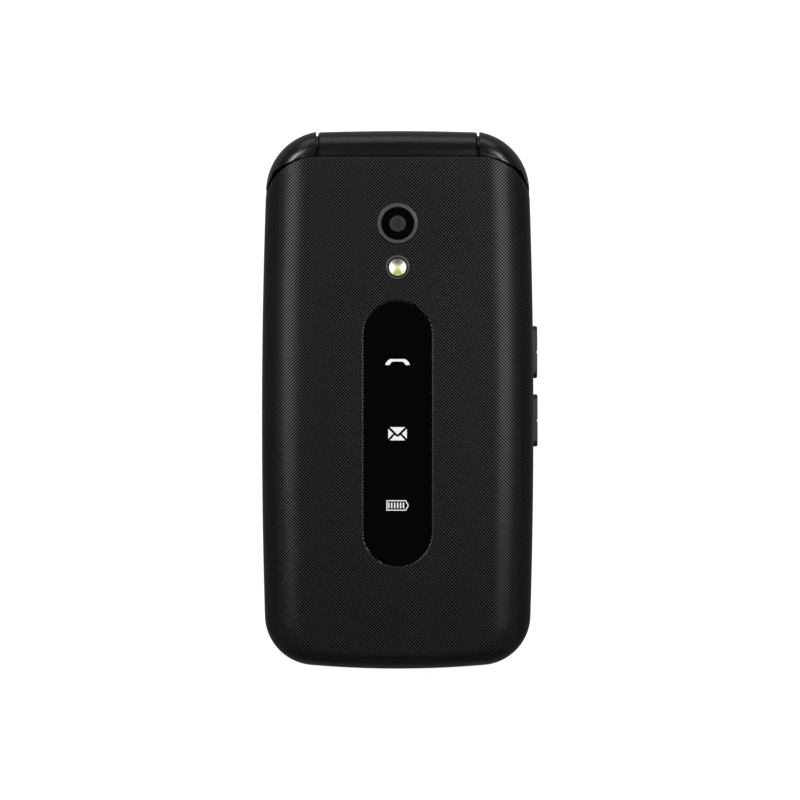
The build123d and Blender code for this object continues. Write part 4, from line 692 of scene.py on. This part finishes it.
def plan_ring(sizes, side_inset, foot_inset, head_y):
    """One ring of the lid seen from above, from its head end on the right round the foot to the left.

    The bowed side and the bowed foot are large circles; a corner circle touches both. Its middle
    is found by moving back and forth between the two circles, made smaller by the corner radius.
    """
    foot_y = COVER_LOW.y + foot_inset
    corner = sizes.foot_corner - (side_inset + foot_inset) / 2
    side_mid = np.array([sizes.width / 2 - side_inset - sizes.side_bow, -sizes.waist])
    foot_mid = np.array([0.0, foot_y + sizes.foot_bow])
    x, y = sizes.width / 2 - side_inset - corner, foot_y + corner
    for _ in range(12):
        x = side_mid[0] + math.sqrt((sizes.side_bow - corner) ** 2 - (y - side_mid[1]) ** 2)
        y = foot_mid[1] - math.sqrt((sizes.foot_bow - corner) ** 2 - x ** 2)
    middle = np.array([x, y])
    on_side = side_mid + (middle - side_mid) * sizes.side_bow / (sizes.side_bow - corner)
    on_foot = foot_mid + (middle - foot_mid) * sizes.foot_bow / (sizes.foot_bow - corner)
    side_y = np.linspace(head_y, on_side[1], 49)
    side = np.c_[side_line(sizes, side_y, side_inset), side_y]
    turn = np.linspace(math.atan2(*(on_side - middle)[::-1]), math.atan2(*(on_foot - middle)[::-1]), 25)[1:]
    bend = middle + corner * np.c_[np.cos(turn), np.sin(turn)]
    foot_x = np.linspace(on_foot[0], 0, 17)[1:]
    base = np.c_[foot_x, foot_mid[1] - np.sqrt(sizes.foot_bow ** 2 - foot_x ** 2)]
    right = np.vstack([side, bend, base])
    left = right[-2::-1] * (-1, 1)
    return np.vstack([right, left])


def head_corner(sizes, inset):
    """Middle and radius of the rounded corner beside the hinge, moved in by the inset."""
    corner_y = COVER_HIGH.y - sizes.head_corner
    half = side_line(sizes, corner_y, 0.0) + sizes.runout
    return half - sizes.head_corner, corner_y, sizes.head_corner - inset


def side_end(sizes, head, inset):
    """Where a ring's side meets the rounded head corner, by stepping between the two curves."""
    middle_x, middle_y, radius = head
    y = middle_y + radius / 2
    for _ in range(60):
        over = np.clip(side_line(sizes, y, inset) - middle_x, 0, radius)
        y = (y + middle_y + math.sqrt(radius ** 2 - over ** 2)) / 2
    return y


def ring_rows(sizes):
    """Rows of (height, inset from the sides, inset from the foot), outside and inside.

    Outside they rise straight up from a small chamfer and then move in along a quarter ellipse
    until they meet the flat face. Inside, the same is moved in by the wall.
    """
    bottom, turn_z = COVER_LOW.z, COVER_HIGH.z - sizes.roll_drop
    roof = COVER_HIGH.z - sizes.wall
    turn = np.linspace(0, np.pi / 2, 20)
    side, foot = sizes.side_roll * (1 - np.cos(turn)), sizes.foot_roll * (1 - np.cos(turn))
    outer = np.vstack([(bottom, sizes.edge, sizes.edge), (bottom + sizes.edge, 0, 0),
                       np.c_[turn_z + sizes.roll_drop * np.sin(turn), side, foot]])
    inner = np.vstack([(bottom, 0, 0), (turn_z, 0, 0),
                       np.c_[turn_z + (roof - turn_z) * np.sin(turn), side, foot]])
    return outer, inner + (0, sizes.wall, sizes.wall)


def stacked(sizes, rows, head_at):
    """The plan rings of those rows, each at its height; head_at gives their head end."""
    rings = []
    for z, side, foot in rows:
        ring = plan_ring(sizes, side, foot, head_at(side))
        rings.append(np.c_[ring, np.full(len(ring), z)])
    return np.array(rings)


def web_line(sizes):
    """X of the points along the straight head edge, doubled where the barrel's web begins and ends."""
    web = sizes.web_half
    return np.concatenate([[web, web], np.linspace(web, -web, 24)[1:-1], [-web, -web]])


def head_edge(sizes, head, rings, arc):
    """The head edge at the top's height: ring ends, corner arc, straight, arc, and ring ends again."""
    middle_x, middle_y, radius = head
    right = np.c_[middle_x + radius * np.cos(arc), middle_y + radius * np.sin(arc)]
    straight = web_line(sizes)
    flat = np.c_[straight, np.full(len(straight), middle_y + radius)]
    plane = np.vstack([right, flat, right[::-1] * (-1, 1)])
    plane = np.c_[plane, np.full(len(plane), COVER_HIGH.z)]
    return np.vstack([rings[:, 0], plane, rings[::-1, -1]])


def hinge_end(sizes, rows, outer, inner, head):
    """The hinge end as a grid of loops, from the face's edge down and back to the inside.

    Each loop runs over the head edge from right to left. The first two make a small chamfer. The
    next go down to the circle that the barrel turns in and along it as far as the floor, which
    is the shell's lower edge beside the barrel and its roof at the barrel's web. The last two
    are the inside wall, at the floor and at the roof.
    """
    bottom, top = COVER_LOW.z, COVER_HIGH.z
    roof = top - sizes.wall
    start = math.atan2(outer[-1, 0, 1] - head[1], outer[-1, 0, 0] - head[0])
    arc = np.linspace(start, np.pi / 2, 8)[1:]
    face_edge = head_edge(sizes, head, outer, arc)

    full_head = head_corner(sizes, 0.0)
    full_rings = outer.copy()
    for ring, (_, side, _) in zip(full_rings, rows):
        y = side_end(sizes, full_head, side)
        x = side_line(sizes, y, side)
        ring[0, :2] = x, y
        ring[-1, :2] = -x, y
    full_edge = head_edge(sizes, full_head, full_rings, arc)
    full_edge[:, 2] = np.maximum(full_edge[:, 2] - sizes.edge, bottom)

    x, y, upper = full_edge.T
    floor = np.full(len(x), bottom)
    web_start = len(rows) + len(arc) + 1
    floor[web_start:-web_start] = roof
    first = np.arccos(np.minimum(HINGE[1] - y, sizes.swing) / sizes.swing)
    last = np.arcsin(np.clip((floor - HINGE[2]) / sizes.swing, -1, 1))
    hollow = (HINGE[1] - y < sizes.swing) & (first > last)
    loops = [face_edge, full_edge]
    for share in np.linspace(0, 1, 8):
        angle = first + (last - first) * share
        loop_y = np.where(hollow, HINGE[1] - sizes.swing * np.cos(angle), y)
        loop_z = np.where(hollow, HINGE[2] + sizes.swing * np.sin(angle), floor)
        loops.append(np.c_[x, loop_y, np.minimum(np.maximum(loop_z, floor), upper)])

    side_x = np.linspace(inner[-1, 0, 0], sizes.web_half, len(arc) + 1)[1:]
    flat_x = np.concatenate([side_x, web_line(sizes), -side_x[::-1]])
    flat = np.c_[flat_x, np.full(len(flat_x), inner[0, 0, 1]), np.full(len(flat_x), roof)]
    inside = np.vstack([inner[:, 0], flat, inner[::-1, -1]])
    under = inside.copy()
    under[:, 2] = np.minimum(floor, inside[:, 2])
    return np.array(loops + [under, inside])


def window_outline(sizes, grow):
    """The plan of the status window's recess, larger all round by the argument."""
    grow = grow + sizes.window_gap
    return slot_outline(WINDOW_AT, (WINDOW_HIGH.y - WINDOW_LOW.y) / 2 + grow,
                        (WINDOW_HIGH.x - WINDOW_LOW.x) / 2 + grow)


def lid_surface(sizes):
    """The closed shell of the lid: rolled outside, plain inside, with holes for the optics.

    Rings of the plan are stacked outside and inside, and loops close the hinge end between them.
    Flat faces close the top, the shelf under the status window and the roof inside, each with
    its holes, and every hole gets its wall. The window's recess has a shallow broken edge.
    """
    top, roof = COVER_HIGH.z, COVER_HIGH.z - sizes.wall
    outer_rows, inner_rows = ring_rows(sizes)
    head = head_corner(sizes, sizes.edge)
    inner_head = HINGE[1] - sizes.swing - sizes.wall
    outer = stacked(sizes, outer_rows, lambda side: side_end(sizes, head, side))
    inner = stacked(sizes, inner_rows, lambda side: inner_head)
    end = hinge_end(sizes, outer_rows, outer, inner, head)
    rows, columns = outer.shape[:2]
    patches = [
        (outer.reshape(-1, 3), quads(rows, columns)),
        (inner.reshape(-1, 3), quads(rows, columns)[:, ::-1]),
        (end.reshape(-1, 3), quads(*end.shape[:2])),
        (np.vstack([outer[0], inner[0]]), quads(2, columns)[:, ::-1]),
    ]

    camera = round_outline(CAMERA_AT, sizes.camera_hole)
    flash = round_outline(FLASH_AT, sizes.flash_hole, 48)
    recess, recess_rim = window_outline(sizes, 0.0), window_outline(sizes, sizes.window_break)
    pitch = bpy.context.scene.phone_optics.symbol_pitch
    slots = [box_outline((0, WINDOW_AT[1] + step * pitch), sizes.slot_width, sizes.slot_length)
             for step in (-1, 0, 1)]
    shelf = WINDOW_LOW.z - sizes.window_gap
    ledge = top - sizes.window_break * math.tan(sizes.window_tilt)
    face, ceiling = (drop_repeats(np.vstack([rings[-1], loop[rows:-rows][::-1]])[:, :2])
                     for rings, loop in ((outer, end[0]), (inner, end[-1])))
    patches += [filled([face, camera, flash, recess_rim], top, True), filled([recess] + slots, shelf, True),
                filled([ceiling, camera, flash] + slots, roof, False)]
    patches += [walled(camera, camera, top, roof), walled(flash, flash, top, roof),
                walled(recess_rim, recess, top, ledge), walled(recess, recess, ledge, shelf)]
    patches += [walled(slot, slot, shelf, roof) for slot in slots]
    return joined(patches)


def sharpen_window(mesh):
    """Keeps the flat face flat-shaded up to the broken edge of the window's recess.

    Every edge of the face whose ends lie within a millimetre of the window is marked sharp.
    """
    points, ends = np.empty(len(mesh.vertices) * 3), np.empty(len(mesh.edges) * 2, dtype=int)
    mesh.vertices.foreach_get("co", points)
    mesh.edges.foreach_get("vertices", ends)
    x, y, z = points.reshape(-1, 3).T
    reach = (WINDOW_HIGH.y - WINDOW_LOW.y) / 2 + MM
    beside = (np.abs(x) < WINDOW_HIGH.x + MM) & (np.abs(y - WINDOW_AT[1]) < reach)
    on_rim = (beside & (z > COVER_HIGH.z - 0.001 * MM))[ends.reshape(-1, 2)].all(axis=1)
    marks = mesh.attributes.get("sharp_edge") or mesh.attributes.new("sharp_edge", "BOOLEAN", "EDGE")
    sharp = np.empty(len(mesh.edges), dtype=bool)
    marks.data.foreach_get("value", sharp)
    marks.data.foreach_set("value", sharp | on_rim)


class PHONE_OT_lid_shell(bpy.types.Operator):
    """Build the lid's coated outer shell"""

    bl_idname = "phone.lid_shell"
    bl_label = "Lid shell"

    def execute(self, context):
        sizes = context.scene.phone_lid
        points, faces = lid_surface(sizes)
        x, y = points[:, 0], points[:, 1]
        side = side_line(sizes, y, 0.0) - np.abs(x)
        foot = y - (COVER_LOW.y + sizes.foot_bow - np.sqrt(sizes.foot_bow ** 2 - x ** 2))
        # The weave fades in over half the rim's width, with a soft start and end.
        fade = np.clip((np.minimum(side, foot) - sizes.rim) / (sizes.rim / 2), 0, 1)
        shell = make_piece("lid_shell", points, faces, "lid", finishes["coated"], 30.0,
                           {"weave": fade * fade * (3 - 2 * fade)})
        mend_normals(shell.data)
        sharpen_window(shell.data)
        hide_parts("lid_cover")
        return {"FINISHED"}


# ---- Camera and flash ----------------------------------------------------------------------
class PHONE_OT_camera_optics(bpy.types.Operator):
    """Build the black camera glass, its lens and aperture"""

    bl_idname = "phone.camera_optics"
    bl_label = "Camera optics"

    def execute(self, context):
        sizes = context.scene.phone_optics
        low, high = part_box("camera_window")
        radius, lens, pupil = sizes.glass_radius, sizes.lens_radius, sizes.aperture
        floor, face = low.z, high.z
        # Glass: flat black ring with a rounded step down to the lens opening in the middle.
        step = 0.04 * MM
        turn = np.linspace(0, np.pi / 2, 5)
        rounding = np.c_[lens + step * (1 - np.cos(turn)), face - step * (1 - np.sin(turn))]
        profile = np.vstack([(radius, floor), (lens, floor), rounding, (radius, face), (radius, floor)])
        glass = turned_piece("camera_glass", profile, CAMERA_AT, "acrylic")
        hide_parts("camera_window")
        # Lens: shallow dome; its height falls with the square of the radius, with two fine grooves.
        edge, rise, lens_face = lens - 0.02 * MM, 0.06 * MM, face - 0.15 * MM
        share = np.linspace(0, 1, 41)
        groove = 0.025 * MM * (np.exp(-((share - 0.46) / 0.05) ** 2) + np.exp(-((share - 0.86) / 0.04) ** 2))
        dome = np.c_[edge * share, lens_face + rise * (1 - share ** 2) - groove]
        profile = np.vstack([dome, (edge, floor), (0, floor)])
        turned_piece("camera_front_lens", profile, CAMERA_AT, "lens")
        # Aperture: a small dark disc just above the top of the lens dome, painted shade for the dark seen through
        # the lens.
        share = np.linspace(0, 1, 6)
        crown = np.c_[pupil * share, lens_face + rise + 0.006 * MM - 0.002 * MM * share ** 2]
        profile = np.vstack([crown, (pupil, floor), (0, floor)])
        turned_piece("camera_aperture_shade", profile, CAMERA_AT, "pupil", 32)
        return {"FINISHED"}


class PHONE_OT_flash_lamp(bpy.types.Operator):
    """Build the flash's clear, slightly domed lens over its cup"""

    bl_idname = "phone.flash_lamp"
    bl_label = "Flash lamp"

    def execute(self, context):
        low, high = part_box("flash_lens")
        radius = context.scene.phone_optics.flash_radius
        foot, ledge = (high.x - low.x) / 2, low.z + 0.35 * MM
        share = np.linspace(0, 1, 16)
        dome = np.c_[radius * share, high.z - 0.1 * MM * share ** 2]
        profile = np.vstack([dome, (radius, ledge), (foot, ledge), (foot, low.z), (0, low.z)])
        lens = turned_piece("flash_cup_lens", profile, FLASH_AT, "flash")
        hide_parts("flash_lens")
        return {"FINISHED"}


# ---- Printed symbols and legends -----------------------------------------------------------
def handset_outline():
    """A handset, in millimetres: a bar with a pad at each end, its outer corners cut off."""
    return mirrored([(1.46, 0.50), (1.84, 0.28), (2.14, -0.04), (2.34, -0.36), (2.42, -0.68),
                     (1.58, -0.68), (1.44, -0.40), (1.24, -0.16), (1.00, 0.02)])


def envelope_outlines():
    """A closed envelope, in millimetres: flap, two sides and a bottom with a soft notch."""
    bottom = [(-1.52, -1.40), (1.52, -1.40), (0.56, -0.34), (0.40, -0.50), (0.21, -0.63), (0, -0.68),
              (-0.21, -0.63), (-0.40, -0.50), (-0.56, -0.34)]
    return [[(-1.52, 1.22), (0, -0.26), (1.52, 1.22)], [(-1.84, 0.88), (-1.84, -1.08), (-0.84, -0.04)],
            [(1.84, 0.88), (0.84, -0.04), (1.84, -1.08)], bottom]


def battery_outlines():
    """A battery, in millimetres: an outlined body with a nub on the right, and six upright bars."""
    shell = [(-2.22, 0.94), (1.72, 0.94), (1.88, 0.50), (2.16, 0.17), (2.16, -0.35), (1.88, -0.68),
             (1.72, -1.12), (-2.22, -1.12)]
    inside = [(-2.02, 0.74), (1.58, 0.74), (1.72, 0.38), (1.96, 0.09), (1.96, -0.27), (1.72, -0.56),
              (1.58, -0.92), (-2.02, -0.92)]
    bars = [slot_outline((-1.74 + 0.585 * i, -0.09), 0.59, 0.14, 8) for i in range(6)]
    return shell, inside, bars


def print_plates(name, plates, z, body, finish):
    """Several flat prints on one surface, as one piece. Each plate is (outline, holes), in metres."""
    half = bpy.context.scene.phone_print.thickness / 2
    solids = [prism(outline, holes, z - half, z + half) for outline, holes in plates]
    points, faces = joined([patch for solid in solids for patch in solid])
    piece = make_piece(name, points, faces, body, finishes[finish])
    mend_normals(piece.data)


class PHONE_OT_status_symbols(bpy.types.Operator):
    """Print the handset, envelope and battery symbols on the status window"""

    bl_idname = "phone.status_symbols"
    bl_label = "Status symbols"

    def execute(self, context):
        pitch = context.scene.phone_optics.symbol_pitch

        def at(outline, step):
            """An outline in its place, a number of pitches towards the hinge and a hair to the left."""
            return np.asarray(outline, float) * MM + WINDOW_AT + (-0.03 * MM, step * pitch)

        shell, inside, bars = battery_outlines()
        symbols = {
            "symbol_handset": [(at(handset_outline(), 1), [])],
            "symbol_envelope": [(at(outline, 0), []) for outline in envelope_outlines()],
            "symbol_battery": [(at(shell, -1), [at(inside, -1)])] + [(at(bar, -1), []) for bar in bars],
        }
        for name, plates in symbols.items():
            print_plates(name, plates, WINDOW_HIGH.z, "lid", "ink_painted_glow")
        return {"FINISHED"}


def print_text(name, text, size, centre, node):
    """Flat printed characters on a key: outlines filled, given the print's thickness and centred."""
    curve = bpy.data.curves.new(name + "_line", "FONT")
    curve.body = text
    curve.size = size
    curve.align_x, curve.align_y = "CENTER", "CENTER"
    curve.extrude = bpy.context.scene.phone_print.thickness / 2
    curve.resolution_u = 4
    line = bpy.data.objects.new(name + "_line", curve)
    bpy.context.scene.collection.objects.link(line)
    bpy.context.view_layer.update()
    mesh = bpy.data.meshes.new_from_object(line.evaluated_get(bpy.context.evaluated_depsgraph_get()))
    bpy.data.objects.remove(line)
    points = np.empty(len(mesh.vertices) * 3)
    mesh.vertices.foreach_get("co", points)
    points = points.reshape(-1, 3)
    middle = (points.min(0) + points.max(0)) / 2
    points, faces = weld(points - middle + (*centre, KEY_TOP), [face.vertices for face in mesh.polygons])
    bpy.data.meshes.remove(mesh)
    make_piece(name, points, faces, node, finishes["ink"], 30.0)


class PHONE_OT_key_legends(bpy.types.Operator):
    """Print digits, letters and signs on the keys"""

    bl_idname = "phone.key_legends"
    bl_label = "Key legends"

    def execute(self, context):
        sizes = context.scene.phone_print
        letters = {"key_2": "ABC", "key_3": "DEF", "key_4": "GHI", "key_5": "JKL", "key_6": "MNO",
                   "key_7": "PQRS", "key_8": "TUV", "key_9": "WXYZ", "key_0": "+"}
        signs = {"key_star": "*", "key_hash": "#"}
        for node in [n for n in NODE_BODY if n.startswith("key_") and n != "key_ok"]:
            middle = middle_of(node)
            shift = -sizes.digit_left if node in letters else 0.0
            print_text("legend_" + node, signs.get(node, node[-1]), sizes.digit, middle + (shift, 0), node)
            if node in letters:
                middle = middle + (sizes.letters_right, 0)
                print_text("letters_" + node, letters[node], sizes.letters, middle, node)
        print_text("legend_key_ok", "OK", sizes.word, middle_of("key_ok"), "key_ok")

        hung = handset_outline() * 1.2 * MM
        cosine, sine = 0.766, 0.643     # of 40 degrees, by which the lifted handset is turned
        turn = np.array([[cosine, sine], [-sine, cosine]])
        dash = box_outline((0, 0), 3.2 * MM, 0.7 * MM)
        arrow = np.array([(-1.5, -0.7), (1.5, -0.7), (0, 1.0)]) * MM
        nav_low, nav_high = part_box("nav_down")[0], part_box("nav_up")[1]
        nav_middle = (nav_high.y + nav_low.y) / 2
        reach = (nav_high.y - nav_middle) * 0.74    # from the middle to the arrows
        marks = {"call_key": (hung @ turn + middle_of("call_key"), "green_ink"),
                 "end_key": (hung + middle_of("end_key"), "red_ink"),
                 "soft_left": (dash + middle_of("soft_left"), "ink"),
                 "soft_right": (dash + middle_of("soft_right"), "ink"),
                 "nav_up": (arrow + (0, nav_middle + reach), "ink"),
                 "nav_down": (arrow * (1, -1) + (0, nav_middle - reach), "ink")}
        for node, (outline, ink) in marks.items():
            print_plates("legend_" + node, [(outline, [])], KEY_TOP, node, ink)
        return {"FINISHED"}


# ---- Stage ---------------------------------------------------------------------------------
AIM = (0, 0.005, 0.018)
LAMPS = (   # name, place, the point it faces, width, height and power
    ("soft_box_left", (-0.136, 0.046, 0.285), AIM, 0.135, 0.1, 0.155),
    ("soft_box_right", (0.124, 0.046, 0.29), AIM, 0.15, 0.1, 0.175),
    ("soft_box_shoulder_left", (-0.2, 0.2125, 0.255), (-0.02, 0.048, 0.0175), 0.12, 0.1, 0.42),
    ("soft_box_shoulder_right", (0.2, 0.2125, 0.255), (0.02, 0.048, 0.0175), 0.12, 0.1, 0.3),
    ("soft_box_head", (0.0, 0.55, 0.13), AIM, 0.6, 0.3, 0.6),
)
FLOOR_WIDTH, FLOOR_DROP = 8.0, 0.02 * MM
FOCAL, SENSOR = 300.0, 36.0         # of the camera, in millimetres
VIEW_SPAN = 159 * MM                # seen by the camera, at the height of the focus
FOCUS = (0.000457, -0.00005, 0.014)


def soft_box(name, place, aim, width, height, power):
    """A rectangular soft light at a place, turned to face a point."""
    lamp = bpy.data.lights.new(name, "AREA")
    lamp.shape, lamp.size, lamp.size_y, lamp.energy = "RECTANGLE", width, height, power
    holder = bpy.data.objects.new(name, lamp)
    bpy.context.scene.collection.objects.link(holder)
    holder.location = place
    holder.rotation_euler = (Vector(place) - Vector(aim)).to_track_quat("Z", "Y").to_euler()


def pale_floor(scene):
    """White paper under the phone: it glows for the camera alone, so it lights nothing by that."""
    mesh = bpy.data.meshes.new("floor")
    corners = box_outline((0, 0), FLOOR_WIDTH, FLOOR_WIDTH)
    mesh.from_pydata([(x, y, 0) for x, y in corners], [], [(0, 1, 2, 3)])
    made, tree, _ = start_material("Matt white studio paper")
    seen = add_node(tree, "ShaderNodeLightPath").outputs["Is Camera Ray"]
    glow = add_node(tree, MATH, {"operation": "MULTIPLY", 1: 0.97}, {0: seen})
    finish_material(tree, {"Base Color": linear("a8a8a8"), "Roughness": 0.9, "Specular IOR Level": 0.1,
                           "Emission Color": linear("ffffff")}, {"Emission Strength": glow})
    mesh.materials.append(made)
    floor = bpy.data.objects.new("floor", mesh)
    scene.collection.objects.link(floor)
    floor.location.z = -FLOOR_DROP


def studio_world(scene):
    """Dim surroundings that darken upwards, and a pale backdrop for the camera."""
    world = bpy.data.worlds.new("Studio")
    scene.world = world
    world.use_nodes = True
    tree = world.node_tree
    tree.nodes.clear()
    way = add_node(tree, "ShaderNodeTexCoord").outputs["Generated"]
    height = add_node(tree, SPLIT, links={"Vector": way}).outputs["Z"]
    ramp = add_node(tree, RAMP, links={"Fac": height})
    stops = ramp.color_ramp.elements
    stops[0].color, stops[1].color = (0.2, 0.2, 0.2, 1), (0.03, 0.03, 0.032, 1)
    stops.new(0.5).color = (0.1, 0.1, 0.1, 1)
    lighting = add_node(tree, "ShaderNodeBackground", {"Strength": 1.0}, {"Color": ramp})
    backdrop = add_node(tree, "ShaderNodeBackground", {"Color": (0.9, 0.9, 0.9, 1), "Strength": 1.0})
    seen = add_node(tree, "ShaderNodeLightPath").outputs["Is Camera Ray"]
    both = add_node(tree, "ShaderNodeMixShader", links={0: seen, 1: lighting, 2: backdrop})
    add_node(tree, "ShaderNodeOutputWorld", links={"Surface": both})


class PHONE_OT_stage(bpy.types.Operator):
    """Set up the pale floor, the soft lights, the surroundings and the camera"""

    bl_idname = "phone.stage"
    bl_label = "Stage"

    def execute(self, context):
        scene = context.scene
        scene.view_settings.view_transform = "Standard"
        pale_floor(scene)
        studio_world(scene)
        for lamp in LAMPS:
            soft_box(*lamp)
        view = bpy.data.cameras.new("camera")
        view.lens, view.sensor_width = FOCAL, SENSOR
        view.clip_start, view.clip_end = 0.05, 20.0
        camera = bpy.data.objects.new("camera", view)
        scene.collection.objects.link(camera)
        camera.location = (FOCUS[0], FOCUS[1], FOCUS[2] + VIEW_SPAN * FOCAL / SENSOR)
        scene.camera = camera
        return {"FINISHED"}


# ---- Panel and registration ----------------------------------------------------------------
GROUPS = {"phone_lid": LidSizes, "phone_optics": OpticsSizes, "phone_print": PrintSizes,
          "phone_colours": PhoneColours}
STEPS = (PHONE_OT_finishes, PHONE_OT_solids, PHONE_OT_lid_shell, PHONE_OT_camera_optics, PHONE_OT_flash_lamp,
         PHONE_OT_status_symbols, PHONE_OT_key_legends, PHONE_OT_stage)


class PHONE_PT_looks(bpy.types.Panel):
    """Buttons, sizes and colours of the phone"""

    bl_idname = "PHONE_PT_looks"
    bl_label = "Clamshell phone"
    bl_space_type = "VIEW_3D"
    bl_region_type = "UI"
    bl_category = "Phone"

    def draw(self, context):
        for step in STEPS:
            self.layout.operator(step.bl_idname)
        for group in GROUPS:
            box = self.layout.box()
            values = getattr(context.scene, group)
            for key in values.bl_rna.properties.keys():
                if key not in ("rna_type", "name"):
                    box.prop(values, key)


CLASSES = (*GROUPS.values(), *STEPS, PHONE_PT_looks)


def register():
    """Registers the classes and gives the scene its sizes and colours."""
    for item in CLASSES:
        bpy.utils.register_class(item)
    for name, group in GROUPS.items():
        setattr(bpy.types.Scene, name, bpy.props.PointerProperty(type=group))


def unregister():
    """Takes away what register added."""
    for name in GROUPS:
        delattr(bpy.types.Scene, name)
    for item in reversed(CLASSES):
        bpy.utils.unregister_class(item)


def main():
    """Registers the add-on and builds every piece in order."""
    register()
    for step in STEPS:
        group, name = step.bl_idname.split(".")
        getattr(getattr(bpy.ops, group), name)()


if __name__ == "__main__":
    main()
